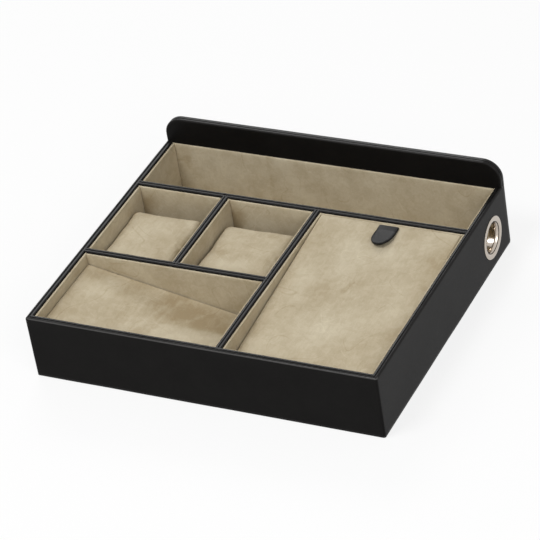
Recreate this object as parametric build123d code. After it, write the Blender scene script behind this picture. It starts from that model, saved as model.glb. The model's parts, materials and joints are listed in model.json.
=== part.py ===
from build123d import *
import math
import os

# Desk valet with open compartments, two watch cushions and a sloping lid, leather outside and
# suede inside. Millimetres. X runs left to right, Y front to back, Z up. The origin is the centre
# of the footprint, on the surface that the valet stands on.

# ---- materials in stock ----
LEATHER = 0.8            # leather skin
WALL_BOARD = 3.9         # core of the front and side walls
DIVIDER_BOARD = 3.9      # core of the dividers
PANEL_BOARD = 5.4        # core of the back panel
BASE_BOARD = 3.0
FELT = 0.8               # pad under the base
LINER = 1.8              # card covered with suede
SUEDE = 0.8              # bare suede, on the lid

# ---- compartments, measured between the leather faces of their walls ----
WATCH_BAYS = 2
WATCH_BAY_WIDTH = 77.8
WATCH_BAY_DEPTH = 92.5
TRAY_DEPTH = 88.0
LID_BAY_WIDTH = 127.4
REAR_BAY_DEPTH = 59.6

# ---- heights ----
RIM_HEIGHT = 58.1
PANEL_HEIGHT = 80.7      # the back panel stands above the rim
LINER_DROP = 1.5         # leather that shows above the liners
TURN_IN = 15.0           # leather turned down inside a wall

# ---- edges ----
RIM_ROUND = 2.0          # rounding along the top of every wall
CORNER_ROUND = 3.0       # upright front corners
PANEL_CORNER = 16.0      # top corners of the back panel

# ---- sloping floor of the tray ----
RAMP_TOP_DROP = 10.8     # below the rim, at the left wall
RAMP_LOW_HEIGHT = 11.9   # above the base board, at the lid bay's wall
RAMP_RIBS = 3
RIB_WIDTH = 3.0

# ---- watch cushions ----
CUSHION_SIDE_PLAY = 10.2     # bay width left free beside a cushion
CUSHION_END_PLAY = 14.9      # bay depth left free behind a cushion
CUSHION_FRONT_GAP = 0.6
CUSHION_LEFT_GAPS = (0.5, 2.0)
CUSHION_DROP = 14.7          # crown below the rim
CUSHION_CROWN = 2.2          # rise of the crown at mid depth
CUSHION_END_CROWN = 1.0      # rise of the crown at both ends
CUSHION_WAIST = 0.7          # how far each side draws in at mid depth
CUSHION_SHOULDER = 3.4       # rounding of the top edges
CUSHION_FOOT = 3.2           # rounding of the bottom edges
CUSHION_END_ROUND = 2.6

# ---- lid ----
LID_BOARD = 2.4
LID_FRONT_DROP = 16.3    # top face below the rim, at the hinge
LID_REAR_DROP = 0.9      # top face below the rim, at the free edge
LID_SIDE_GAP = 0.8
LID_REAR_GAP = 0.9
LID_EDGE_ROUND = 1.0
LEDGE_DEPTH = 7.0
LEDGE_HEIGHT = 9.0
HINGE_STRIP = 0.5        # thickness of the suede hinge on the front liner
HINGE_STRIP_HEIGHT = 12.0

# ---- pull tab ----
TAB_WIDTH = 16.4
TAB_THICKNESS = 2.0
TAB_ROOT_LENGTH = 6.0    # the stitched end
TAB_FREE_LENGTH = 24.0
TAB_MARGIN = 3.2         # from the lid's free edge
TAB_RISE = 5.2           # how far the free end stands off the lid
TAB_END_ROUND = 6.5
TAB_ROOT_ROUND = 1.2

# ---- cable grommet ----
GROMMET_HOLE = 24.0      # clear diameter
GROMMET_FLANGE = 36.2    # outside diameter
GROMMET_WALL = 0.8
GROMMET_PROUD = 1.6      # flange above the leather
GROMMET_RIM = 0.4        # flange thickness at its outer edge
GROMMET_HEIGHT = 27.3
GROMMET_SETBACK = 2.8    # behind the middle of the rear bay
RING_WIDTH = 4.2         # ring inside the bay, round the sleeve
RING_THICKNESS = 1.0

# ---- clearances ----
REST_GAP = 0.3           # soft or loose piece above its seat
PIN_GAP = 0.2            # sleeve in its hole

# ---- worked out ----
wall = WALL_BOARD + 2 * LEATHER
divider = DIVIDER_BOARD + 2 * LEATHER
panel = PANEL_BOARD + 2 * LEATHER
tray_width = WATCH_BAYS * WATCH_BAY_WIDTH + (WATCH_BAYS - 1) * divider
case_width = wall + tray_width + divider + LID_BAY_WIDTH + wall
case_depth = wall + TRAY_DEPTH + divider + WATCH_BAY_DEPTH + divider + REAR_BAY_DEPTH + panel

x_left = -case_width / 2
x_right = case_width / 2
y_front = -case_depth / 2
y_back = case_depth / 2
z_base = FELT + BASE_BOARD
z_floor = z_base + LINER
liner_top = RIM_HEIGHT - LINER_DROP
rim_round = min(RIM_ROUND, 0.45 * min(wall, divider, panel))
core_round = max(rim_round - LEATHER, 0.2)

x_inside = x_left + wall
x_lid_divider = x_inside + tray_width
x_lid_bay = x_lid_divider + divider
x_inside_right = x_right - wall
y_inside = y_front + wall
y_tray_divider = y_inside + TRAY_DEPTH
y_watch = y_tray_divider + divider
y_rear_divider = y_watch + WATCH_BAY_DEPTH
y_rear_bay = y_rear_divider + divider
y_panel = y_back - panel


def block(x0, x1, y0, y1, z0, z1):
    """A box between six faces."""
    centre = Pos((x0 + x1) / 2, (y0 + y1) / 2, (z0 + z1) / 2)
    return centre * Box(x1 - x0, y1 - y0, z1 - z0)


def yz_prism(points, x0, x1):
    """A polygon of (y, z) points carried along X."""
    outline = make_face(Polyline(*points, close=True).edges())
    return extrude(Plane.YZ.offset(x0) * outline, amount=x1 - x0)


def xz_prism(points, y0, y1):
    """A polygon of (x, z) points carried along Y."""
    outline = make_face(Polyline(*points, close=True).edges())
    return extrude(Plane.XZ.offset(-y0) * outline, amount=-(y1 - y0))


# ---- outer walls ----

def outer_block(inset, z0, z1):
    """The footprint in front of the back panel, drawn in by inset, with round front corners."""
    solid = block(x_left + inset, x_right - inset, y_front + inset, y_panel, z0, z1)
    upright = solid.edges().filter_by(Axis.Z).sort_by(Axis.Y)[:2]
    return fillet(upright, CORNER_ROUND - inset)


def walls_form(inset, z0, top_round):
    """Left, front and right walls in one, drawn in by inset from every leather face."""
    top = RIM_HEIGHT - inset
    hollow = block(x_inside - inset, x_inside_right + inset, y_inside - inset, y_panel + wall,
                   z0 - wall, top + wall)
    walls = outer_block(inset, z0, top) - hollow
    rim = walls.faces().sort_by(Axis.Z)[-1].edges()
    rim = rim.filter_by(lambda edge: edge.center().Y < y_panel - inset / 2 - 0.01)
    return fillet(rim, top_round)


def wall_core():
    """The three boards as one ring, inside the leather."""
    return walls_form(LEATHER, z_base, core_round)


def left_board():
    return wall_core() & block(x_left, x_inside - LEATHER, y_front, y_panel, z_base, RIM_HEIGHT)


def front_board():
    return wall_core() & block(x_inside - LEATHER, x_inside_right + LEATHER, y_front, y_inside,
                               z_base, RIM_HEIGHT)


def right_board():
    board = wall_core() & block(x_inside_right + LEATHER, x_right, y_front, y_panel,
                                z_base, RIM_HEIGHT)
    return board - grommet_bore()


def outer_wrap():
    """Leather over the outside and the rim, turned down inside the walls."""
    skin = walls_form(0, FELT, rim_round) - walls_form(LEATHER, FELT - wall, core_round)
    return skin - outer_block(LEATHER, FELT - wall, RIM_HEIGHT - TURN_IN) - grommet_bore()


# ---- base ----

def base_board():
    front = outer_block(LEATHER, FELT, z_base)
    rear = block(x_left + LEATHER, x_right - LEATHER, y_panel, y_back - LEATHER, FELT, z_base)
    rear_corners = rear.edges().filter_by(Axis.Z).sort_by(Axis.Y)[-2:]
    return front + fillet(rear_corners, core_round)


def base_felt():
    return block(x_left + CORNER_ROUND, x_right - CORNER_ROUND, y_front + CORNER_ROUND,
                 y_back - CORNER_ROUND, 0, FELT)


# ---- back panel ----

def panel_form(inset, z0, edge_round):
    """The tall back, drawn in by inset, with round top corners and rounded edges.

    Below the rim its front edges are square, because the side walls end there.
    """
    solid = block(x_left + inset, x_right - inset, y_panel + inset, y_back - inset,
                  z0, PANEL_HEIGHT - inset)
    corners = solid.edges().filter_by(Axis.Y).sort_by(Axis.Z)[-2:]
    solid = fillet(corners, PANEL_CORNER - inset)
    front_edges = solid.faces().sort_by(Axis.Y)[0].edges()
    rear_edges = solid.faces().sort_by(Axis.Y)[-1].edges()
    rounded = (front_edges + rear_edges).filter_by(lambda edge: edge.center().Z > z0 + 1)
    solid = fillet(rounded, edge_round)
    return solid + block(x_left + inset, x_right - inset, y_panel + inset, y_panel + panel / 2,
                         z0, RIM_HEIGHT - rim_round)


def back_board():
    return panel_form(LEATHER, z_base, core_round)


def panel_skin():
    """All the leather round the back board and the base board's rear edge."""
    skin = panel_form(0, FELT, rim_round) - panel_form(LEATHER, FELT - wall, core_round)
    return skin - block(x_left + LEATHER, x_right - LEATHER, y_panel - wall, y_panel + LEATHER,
                        FELT - wall, z_base)


def back_facing():
    """The sheet on the front of the back panel."""
    return panel_skin() & block(x_left - wall, x_right + wall, y_panel, y_panel + LEATHER,
                                FELT, PANEL_HEIGHT)


def back_wrap():
    """The leather of the rear face, brought over the edges."""
    return panel_skin() & block(x_left - wall, x_right + wall, y_panel + LEATHER, y_back,
                                FELT, PANEL_HEIGHT)


# ---- dividers ----

def bar_form(inset, bounds, z0, top_round):
    """An upright bar between four faces, drawn in by inset on its two sides and its top."""
    x0, x1, y0, y1 = bounds
    along_x = (x1 - x0) > (y1 - y0)
    dx, dy = (0, inset) if along_x else (inset, 0)
    solid = block(x0 + dx, x1 - dx, y0 + dy, y1 - dy, z0, RIM_HEIGHT - inset)
    top_edges = solid.faces().sort_by(Axis.Z)[-1].edges()
    return fillet(top_edges.filter_by(Axis.X if along_x else Axis.Y), top_round)


# name: (x0, x1, y0, y1), every upright bar between four leather faces
WALLS = {
    "left_wall": (x_left, x_inside, y_front, y_panel),
    "right_wall": (x_inside_right, x_right, y_front, y_panel),
    "front_wall": (x_left, x_right, y_front, y_inside),
}
DIVIDERS = {
    "rear_divider": (x_inside, x_inside_right, y_rear_divider, y_rear_bay),
    "lid_divider": (x_lid_divider, x_lid_bay, y_inside, y_rear_divider),
    "tray_divider": (x_inside, x_lid_divider, y_tray_divider, y_watch),
}
# the bars that each divider runs between
ENDS = {
    "rear_divider": ("left_wall", "right_wall"),
    "lid_divider": ("front_wall", "rear_divider"),
    "tray_divider": ("left_wall", "lid_divider"),
}
for bay in range(1, WATCH_BAYS):
    x_bay_divider = x_inside + bay * WATCH_BAY_WIDTH + (bay - 1) * divider
    bay_divider = "watch_divider" if WATCH_BAYS == 2 else f"watch_divider_{bay}"
    DIVIDERS[bay_divider] = (x_bay_divider, x_bay_divider + divider, y_watch, y_rear_divider)
    ENDS[bay_divider] = ("tray_divider", "rear_divider")
BARS = {**WALLS, **DIVIDERS}


def divider_board(name):
    return bar_form(LEATHER, BARS[name], z_base, core_round)


def grown_bar(name, inset, z0, top_round):
    """A divider run on into its neighbours by the rounding of their rims."""
    x0, x1, y0, y1 = BARS[name]
    along_x = (x1 - x0) > (y1 - y0)
    ex, ey = (rim_round, 0) if along_x else (0, rim_round)
    return bar_form(inset, (x0 - ex, x1 + ex, y0 - ey, y1 + ey), z0, top_round)


def divider_wrap(name):
    """Leather over a divider's top, its legs turned down both sides, its ends fitted to the
    rounded rims that they meet."""
    leg_bottom = RIM_HEIGHT - TURN_IN
    cap = grown_bar(name, 0, leg_bottom, rim_round)
    cap -= grown_bar(name, LEATHER, leg_bottom - wall, core_round)
    for neighbour in ENDS[name]:
        cap -= bar_form(0, BARS[neighbour], z_base, rim_round)
    return cap


# ---- suede liners ----

# name: (x0, x1, y0, y1) between the leather faces
COMPARTMENTS = {
    "tray": (x_inside, x_lid_divider, y_inside, y_tray_divider),
    "lid_bay": (x_lid_bay, x_inside_right, y_inside, y_rear_divider),
    "rear_bay": (x_inside, x_inside_right, y_rear_bay, y_panel),
}
watch_names = []
for bay in range(WATCH_BAYS):
    x_bay = x_inside + bay * (WATCH_BAY_WIDTH + divider)
    bay_name = ("watch_left", "watch_right")[bay] if WATCH_BAYS == 2 else f"watch_{bay + 1}"
    watch_names.append(bay_name)
    COMPARTMENTS[bay_name] = (x_bay, x_bay + WATCH_BAY_WIDTH, y_watch, y_rear_divider)


def liner_pieces(name):
    """The floor and the four walls of one compartment's lining."""
    x0, x1, y0, y1 = COMPARTMENTS[name]
    pieces = {
        "left": block(x0, x0 + LINER, y0, y1, z_floor, liner_top),
        "right": block(x1 - LINER, x1, y0, y1, z_floor, liner_top),
        "front": block(x0 + LINER, x1 - LINER, y0, y0 + LINER, z_floor, liner_top),
        "rear": block(x0 + LINER, x1 - LINER, y1 - LINER, y1, z_floor, liner_top),
    }
    lining = {f"{name}_liner_{side}": solid for side, solid in pieces.items()}
    lining[f"{name}_floor"] = block(x0, x1, y0, y1, z_base, z_floor)
    return lining


# ---- tray ramp ----

ramp_x0 = x_inside + LINER
ramp_x1 = x_lid_divider - LINER
ramp_y0 = y_inside + LINER
ramp_y1 = y_tray_divider - LINER
ramp_high = RIM_HEIGHT - RAMP_TOP_DROP
ramp_low = z_base + RAMP_LOW_HEIGHT


def ramp_panel():
    """The sloping floor: high at the left wall, low at the lid bay."""
    return xz_prism([(ramp_x0, ramp_high), (ramp_x0, ramp_high - LINER),
                     (ramp_x1, ramp_low - LINER), (ramp_x1, ramp_low)], ramp_y0, ramp_y1)


def ramp_ribs():
    """Card ribs that carry the ramp, evenly spaced from front to back."""
    pitch = (ramp_y1 - ramp_y0 - RIB_WIDTH) / (RAMP_RIBS - 1)
    ribs = []
    for index in range(RAMP_RIBS):
        y0 = ramp_y0 + index * pitch
        ribs.append(xz_prism([(ramp_x0, z_floor), (ramp_x0, ramp_high - LINER),
                              (ramp_x1, ramp_low - LINER), (ramp_x1, z_floor)], y0, y0 + RIB_WIDTH))
    return Compound(children=ribs)


# ---- watch cushions ----

cushion_width = WATCH_BAY_WIDTH - 2 * LINER - CUSHION_SIDE_PLAY
cushion_depth = WATCH_BAY_DEPTH - 2 * LINER - CUSHION_END_PLAY
cushion_bottom = z_floor + REST_GAP
cushion_top = RIM_HEIGHT - CUSHION_DROP


def cushion_section(x_centre, y, half_width, crown, crown_top):
    """Upright outline of a cushion: flat foot, straight sides and an arched top."""
    shoulder = crown_top - crown
    foot = Line((-half_width, cushion_bottom), (half_width, cushion_bottom))
    right = Line((half_width, cushion_bottom), (half_width, shoulder))
    arch = ThreePointArc((half_width, shoulder), (0, crown_top), (-half_width, shoulder))
    left = Line((-half_width, shoulder), (-half_width, cushion_bottom))
    outline = make_face([foot, right, arch, left])
    corners = outline.vertices().sort_by(Axis.Y)
    outline = fillet(corners[:2], CUSHION_FOOT)
    corners = outline.vertices().sort_by(Axis.Y)
    outline = fillet(corners[-2:], CUSHION_SHOULDER)
    plane = Plane(origin=(x_centre, y, 0), x_dir=(1, 0, 0), z_dir=(0, -1, 0))
    return plane * outline


def watch_cushion(bay):
    """A crowned cushion, its sides drawn in between the corners, at the front of its bay."""
    x0, x1, y0, y1 = COMPARTMENTS[watch_names[bay]]
    left = x0 + LINER + CUSHION_LEFT_GAPS[bay % len(CUSHION_LEFT_GAPS)]
    middle = left + cushion_width / 2
    front = y0 + LINER + CUSHION_FRONT_GAP
    half = cushion_width / 2
    end_top = cushion_top - (CUSHION_CROWN - CUSHION_END_CROWN)
    body = loft([
        cushion_section(middle, front, half, CUSHION_END_CROWN, end_top),
        cushion_section(middle, front + cushion_depth / 2, half - CUSHION_WAIST,
                        CUSHION_CROWN, cushion_top),
        cushion_section(middle, front + cushion_depth, half, CUSHION_END_CROWN, end_top),
    ])
    ends = body.faces().sort_by(Axis.Y)
    return fillet(ends[0].edges() + ends[-1].edges(), CUSHION_END_ROUND)


# ---- lid ----

lid_thickness = LID_BOARD + 2 * SUEDE
lid_width = LID_BAY_WIDTH - 2 * LINER - 2 * LID_SIDE_GAP
lid_x = (x_lid_bay + x_inside_right) / 2
hinge_y = y_inside + LINER + HINGE_STRIP + REST_GAP
hinge_z = RIM_HEIGHT - LID_FRONT_DROP
lid_end_y = y_rear_divider - LINER - LID_REAR_GAP
lid_end_z = RIM_HEIGHT - LID_REAR_DROP
lid_slope = math.atan2(lid_end_z - hinge_z, lid_end_y - hinge_y)
lid_length = math.hypot(lid_end_y - hinge_y, lid_end_z - hinge_z)
lid_plane = Plane(origin=(lid_x, hinge_y, hinge_z), x_dir=(1, 0, 0),
                  z_dir=(0, -math.sin(lid_slope), math.cos(lid_slope)))


def lid_underside(y):
    """Height of the lid's lower face above a place y."""
    return hinge_z + (y - hinge_y) * math.tan(lid_slope) - lid_thickness / math.cos(lid_slope)


def lid_form(inset, edge_round):
    """The lid in its own plane, its top front edge on the hinge line."""
    half = lid_width / 2
    solid = block(-half + inset, half - inset, inset, lid_length - inset,
                  inset - lid_thickness, -inset)
    if edge_round > 0:
        solid = fillet(solid.faces().sort_by(Axis.Z)[-1].edges(), edge_round)
    return solid


def lid_board():
    return lid_plane * lid_form(SUEDE, 0)


def lid_skin():
    return lid_form(0, LID_EDGE_ROUND) - lid_form(SUEDE, 0)


def lid_cover():
    """Suede over the top and the edges."""
    keep = block(-lid_width, lid_width, -lid_length, 2 * lid_length,
                 SUEDE - lid_thickness, lid_thickness)
    return lid_plane * (lid_skin() & keep)


def lid_lining():
    """Suede sheet under the lid."""
    keep = block(-lid_width, lid_width, -lid_length, 2 * lid_length,
                 -2 * lid_thickness, SUEDE - lid_thickness)
    return lid_plane * (lid_skin() & keep)


def lid_ledge(y0, y1):
    """A strip across the bay that the lid comes to rest on."""
    x0, x1 = x_lid_bay + LINER, x_inside_right - LINER
    top0 = lid_underside(y0) - REST_GAP
    top1 = lid_underside(y1) - REST_GAP
    return yz_prism([(y0, top0 - LEDGE_HEIGHT), (y1, top0 - LEDGE_HEIGHT), (y1, top1), (y0, top0)],
                    x0, x1)


def lid_ledge_front():
    y0 = y_inside + LINER
    return lid_ledge(y0, y0 + LEDGE_DEPTH)


def lid_ledge_rear():
    y1 = y_rear_divider - LINER
    return lid_ledge(y1 - LEDGE_DEPTH, y1)


def lid_hinge_strip():
    """Suede hinge on the front liner, above the ledge, in line with the lid's top edge."""
    y0 = y_inside + LINER
    z0 = lid_underside(y0 + HINGE_STRIP) - REST_GAP + HINGE_STRIP
    half = lid_width / 2
    return block(lid_x - half, lid_x + half, y0, y0 + HINGE_STRIP, z0, z0 + HINGE_STRIP_HEIGHT)


# ---- pull tab ----

tab_root_end = lid_length - TAB_MARGIN
tab_root_start = tab_root_end - TAB_ROOT_LENGTH
tab_start = tab_root_start - REST_GAP
tab_axis = (tab_root_start - REST_GAP / 2, REST_GAP + TAB_THICKNESS)


def pull_tab_root():
    """The stitched end of the tab, flat on the lid."""
    half = TAB_WIDTH / 2
    patch = block(-half, half, tab_root_start, tab_root_end, 0, TAB_THICKNESS)
    rear_corners = patch.edges().filter_by(Axis.Z).sort_by(Axis.Y)[-2:]
    return lid_plane * fillet(rear_corners, TAB_ROOT_ROUND)


def pull_tab():
    """The free tongue: it leaves the lid in one bend and ends round."""
    near, far = tab_start, tab_start - TAB_FREE_LENGTH
    bend = near - 0.38 * TAB_FREE_LENGTH
    low = ThreePointArc((near, REST_GAP), (bend, REST_GAP + 0.68 * (TAB_RISE - REST_GAP)),
                        (far, TAB_RISE))
    high = Pos(0, TAB_THICKNESS) * low
    side = make_face([low, Line(low @ 1, high @ 1), high, Line(high @ 0, low @ 0)])
    half = TAB_WIDTH / 2
    strip = extrude(Plane.YZ.offset(-half) * side, amount=TAB_WIDTH)
    plan = block(-half, half, far, near, -TAB_RISE, 3 * TAB_RISE)
    end_corners = plan.edges().filter_by(Axis.Z).sort_by(Axis.Y)[:2]
    plan = fillet(end_corners, min(TAB_END_ROUND, 0.48 * TAB_WIDTH))
    return lid_plane * (strip & plan)


# ---- cable grommet ----

grommet_y = (y_rear_bay + y_panel) / 2 + GROMMET_SETBACK
grommet_axis = Plane(origin=(x_right, grommet_y, GROMMET_HEIGHT), x_dir=(0, 1, 0), z_dir=(1, 0, 0))
sleeve_radius = GROMMET_HOLE / 2 + GROMMET_WALL
sleeve_length = wall + LINER + RING_THICKNESS


def grommet_bore():
    """The hole through the wall and its liner, with room for the sleeve."""
    length = 4 * wall
    return grommet_axis * (Pos(0, 0, -wall / 2) * Cylinder(sleeve_radius + PIN_GAP, length))


def grommet():
    """Flanged metal sleeve, its flange domed between the bore and the outer edge."""
    bore = GROMMET_HOLE / 2
    edge = GROMMET_FLANGE / 2
    middle = (bore + edge) / 2
    profile = make_face([
        Line((bore, -sleeve_length), (sleeve_radius, -sleeve_length)),
        Line((sleeve_radius, -sleeve_length), (sleeve_radius, 0)),
        Line((sleeve_radius, 0), (edge, 0)),
        Line((edge, 0), (edge, GROMMET_RIM)),
        ThreePointArc((edge, GROMMET_RIM), (middle, GROMMET_PROUD), (bore, GROMMET_RIM)),
        Line((bore, GROMMET_RIM), (bore, -sleeve_length)),
    ])
    return grommet_axis * revolve(Plane.XZ * profile, axis=Axis.Z)


def grommet_ring():
    """Flat ring that holds the sleeve from inside the bay."""
    inner = sleeve_radius + PIN_GAP
    ring = Cylinder(inner + RING_WIDTH, RING_THICKNESS) - Cylinder(inner, 3 * RING_THICKNESS)
    return grommet_axis * (Pos(0, 0, -(wall + LINER + RING_THICKNESS / 2)) * ring)


# ---- the whole valet ----

def all_pieces():
    pieces = {
        "base_felt": base_felt(),
        "base_board": base_board(),
        "front_board": front_board(),
        "left_board": left_board(),
        "right_board": right_board(),
        "outer_wrap": outer_wrap(),
        "back_board": back_board(),
        "back_facing": back_facing(),
        "back_wrap": back_wrap(),
    }
    for name in DIVIDERS:
        pieces[f"{name}_board"] = divider_board(name)
        pieces[f"{name}_wrap"] = divider_wrap(name)
    for name in COMPARTMENTS:
        pieces.update(liner_pieces(name))
    pieces["rear_bay_liner_right"] -= grommet_bore()
    pieces["tray_ramp"] = ramp_panel()
    pieces["tray_ramp_ribs"] = ramp_ribs()
    for bay, name in enumerate(watch_names):
        pieces[name.replace("watch_", "watch_cushion_")] = watch_cushion(bay)
    pieces.update({
        "lid_board": lid_board(),
        "lid_cover": lid_cover(),
        "lid_lining": lid_lining(),
        "lid_ledge_front": lid_ledge_front(),
        "lid_ledge_rear": lid_ledge_rear(),
        "lid_hinge_strip": lid_hinge_strip(),
        "pull_tab_root": pull_tab_root(),
        "pull_tab": pull_tab(),
        "grommet": grommet(),
        "grommet_ring": grommet_ring(),
    })
    return pieces


def report():
    """Print the places that the record and the dressed model need."""
    axis_point = lid_plane.from_local_coords((0, *tab_axis))
    print(f"case {case_width:.2f} x {case_depth:.2f}, rim {RIM_HEIGHT}, panel {PANEL_HEIGHT}")
    print(f"lid hinge y {hinge_y:.3f} z {hinge_z:.3f}, slope {math.degrees(lid_slope):.3f} deg")
    print(f"lid length {lid_length:.3f}, width {lid_width:.3f}, thickness {lid_thickness:.2f}")
    print(f"tab axis y {axis_point.Y:.3f} z {axis_point.Z:.3f}, x {lid_x:.3f}")
    print(f"grommet y {grommet_y:.3f} z {GROMMET_HEIGHT}")
    for name, (x0, x1, y0, y1) in COMPARTMENTS.items():
        print(f"{name}: x {x0:.2f} to {x1:.2f}, y {y0:.2f} to {y1:.2f}")


os.makedirs("parts", exist_ok=True)
for node, solid in all_pieces().items():
    export_step(solid, f"parts/{node}.step")
report()
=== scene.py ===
import json
import math

import bmesh
import bpy
import numpy as np
from bpy.props import FloatProperty, FloatVectorProperty, PointerProperty
from mathutils import Matrix, Vector


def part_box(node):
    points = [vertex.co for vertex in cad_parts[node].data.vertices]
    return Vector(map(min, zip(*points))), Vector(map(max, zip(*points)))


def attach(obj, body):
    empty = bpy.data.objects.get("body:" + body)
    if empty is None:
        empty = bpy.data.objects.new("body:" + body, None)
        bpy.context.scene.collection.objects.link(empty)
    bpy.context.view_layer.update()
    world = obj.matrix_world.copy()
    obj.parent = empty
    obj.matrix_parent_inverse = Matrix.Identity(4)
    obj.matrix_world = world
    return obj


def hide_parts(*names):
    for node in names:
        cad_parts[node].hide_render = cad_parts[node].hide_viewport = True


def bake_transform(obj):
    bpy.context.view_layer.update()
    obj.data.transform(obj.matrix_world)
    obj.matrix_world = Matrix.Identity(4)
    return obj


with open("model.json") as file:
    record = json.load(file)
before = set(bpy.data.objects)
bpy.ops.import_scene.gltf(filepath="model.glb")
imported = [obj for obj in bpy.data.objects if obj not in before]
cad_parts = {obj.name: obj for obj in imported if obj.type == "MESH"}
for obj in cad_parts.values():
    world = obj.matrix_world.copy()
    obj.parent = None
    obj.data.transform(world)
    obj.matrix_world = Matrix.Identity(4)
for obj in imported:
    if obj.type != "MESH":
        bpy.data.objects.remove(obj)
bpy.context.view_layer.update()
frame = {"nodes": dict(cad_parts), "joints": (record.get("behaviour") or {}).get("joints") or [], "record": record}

bl_info = {
    "name": "Desk valet dressing",
    "version": (1, 0, 0),
    "blender": (4, 5, 0),
    "location": "View3D > Sidebar > Valet",
    "description": "Leather, suede, cushions, lid, tab and grommet for an open desk valet",
    "category": "Object",
}

MM = 0.001
SEED = 2100


def linear(hex_colour):
    """sRGB hex to linear red, green, blue and alpha."""
    channels = [int(hex_colour[i:i + 2], 16) / 255 for i in (1, 3, 5)]
    curve = [c / 12.92 if c <= 0.04045 else ((c + 0.055) / 1.055) ** 2.4 for c in channels]
    return (*curve, 1.0)


def node_box(name):
    """Lowest and highest corner of a CAD node, as arrays in metres."""
    low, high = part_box(name)
    return np.array(low), np.array(high)


JOINTS = {joint["name"]: joint for joint in frame["joints"]}


# ---------------------------------------------------------------- surfaces

def spaced(length, round_off, step, bends=6):
    """Stations from 0 to length: crowded over a rounding at both ends, even between."""
    angle = np.linspace(0, math.pi / 2, bends + 1)
    near = round_off * (1 - np.cos(angle))
    count = max(2, int(round((length - 2 * round_off) / step)))
    middle = np.linspace(round_off, length - round_off, count + 1)
    return np.concatenate([near[:-1], middle, (length - near[:-1])[::-1]])


def rounding(distance, reach):
    """Share of the full height at a distance from an edge: a quarter circle over reach, then 1."""
    part = np.clip(distance / reach, 0, 1)
    return np.sqrt(1 - (1 - part) ** 2)


def ripple(points, size, seed, waves=22):
    """Smooth uneven height near -1.5 to 1.5: cosines of random direction, length near size."""
    rng = np.random.default_rng(SEED + seed)
    directions = rng.normal(size=(waves, 3))
    directions /= np.linalg.norm(directions, axis=1, keepdims=True)
    lengths = size * rng.uniform(0.7, 1.7, waves)
    phases = rng.uniform(0, 2 * math.pi, waves)
    turns = points @ (2 * math.pi * directions / lengths[:, None]).T
    return np.cos(turns + phases).sum(axis=-1) * math.sqrt(2 / waves)


def smear(points, start, end, width, crisp):
    """1 on the line from start to end, fading at width; 2 is a bell curve, more is crisper."""
    start, end = np.array(start), np.array(end)
    along = end - start
    share = np.clip((points - start) @ along / (along @ along), 0, 1)
    distance = np.linalg.norm(points - start - share[..., None] * along, axis=-1)
    return np.exp(-(distance / width) ** crisp)


def grid_faces(rows, columns, start=0, wrap_rows=False, wrap_columns=False):
    """Quads of a grid whose points are stored row by row from start."""
    a, b = np.meshgrid(
        np.arange(rows if wrap_rows else rows - 1),
        np.arange(columns if wrap_columns else columns - 1),
        indexing="ij",
    )
    a2, b2 = (a + 1) % rows, (b + 1) % columns
    quads = [a * columns + b, a2 * columns + b, a2 * columns + b2, a * columns + b2]
    return start + np.stack(quads, axis=-1).reshape(-1, 4)


def make_piece(name, points, faces, material, values=None, closed=True, sharp=35):
    """A mesh object from points and quads; doubles are merged and a closed one points outwards."""
    mesh = bpy.data.meshes.new(name)
    mesh.from_pydata(points.reshape(-1, 3).tolist(), [], faces.tolist())
    for key, value in (values or {}).items():
        attribute = mesh.attributes.new(key, "FLOAT", "POINT")
        attribute.data.foreach_set("value", np.ascontiguousarray(value, dtype=np.float32).ravel())
    tidy = bmesh.new()
    tidy.from_mesh(mesh)
    bmesh.ops.remove_doubles(tidy, verts=tidy.verts, dist=0.002 * MM)
    bmesh.ops.dissolve_degenerate(tidy, edges=tidy.edges, dist=0.002 * MM)
    loose = [v for v in tidy.verts if not v.link_faces]
    bmesh.ops.delete(tidy, geom=loose, context="VERTS")
    if closed:
        bmesh.ops.recalc_face_normals(tidy, faces=tidy.faces)
        if tidy.calc_volume(signed=True) < 0:
            bmesh.ops.reverse_faces(tidy, faces=tidy.faces)
    tidy.to_mesh(mesh)
    tidy.free()
    mesh.shade_smooth()
    mesh.set_sharp_from_angle(angle=math.radians(sharp))
    mesh.materials.append(material)
    piece = bpy.data.objects.new(name, mesh)
    bpy.context.scene.collection.objects.link(piece)
    return piece


def burnish(piece, least):
    """Faces whose edge attribute is at least that take the burnished leather."""
    mesh = piece.data
    mesh.materials.append(finish_for("burnished_edge"))
    edge = np.empty(len(mesh.vertices), dtype=np.float32)
    mesh.attributes["edge"].data.foreach_get("value", edge)
    corners = np.empty(len(mesh.loops), dtype=np.int32)
    mesh.loops.foreach_get("vertex_index", corners)
    starts = np.empty(len(mesh.polygons), dtype=np.int32)
    mesh.polygons.foreach_get("loop_start", starts)
    lowest = np.minimum.reduceat(edge[corners], starts)
    mesh.polygons.foreach_set("material_index", (lowest >= least).astype(np.int32))


def settle(piece, body, slot, *nodes):
    """The piece rides on a body and stands for CAD nodes, which are hidden. The slot is not used."""
    if body:
        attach(piece, body)
    if nodes:
        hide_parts(*nodes)


# ---------------------------------------------------------------- materials

def add(tree, kind, inputs=None, **settings):
    """Adds one shader node: settings go on it, inputs are values or the sockets that feed it."""
    made = tree.nodes.new("ShaderNode" + kind)
    for key, value in settings.items():
        setattr(made, key, value)
    for key, value in (inputs or {}).items():
        if isinstance(value, bpy.types.NodeSocket):
            tree.links.new(value, made.inputs[key])
        else:
            made.inputs[key].default_value = value
    return made


def new_material(name):
    """An empty material with its tree, output and Object coordinates."""
    material = bpy.data.materials.new(name)
    material.use_nodes = True
    tree = material.node_tree
    tree.nodes.clear()
    place = add(tree, "TexCoord").outputs["Object"]
    return material, tree, place


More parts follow.
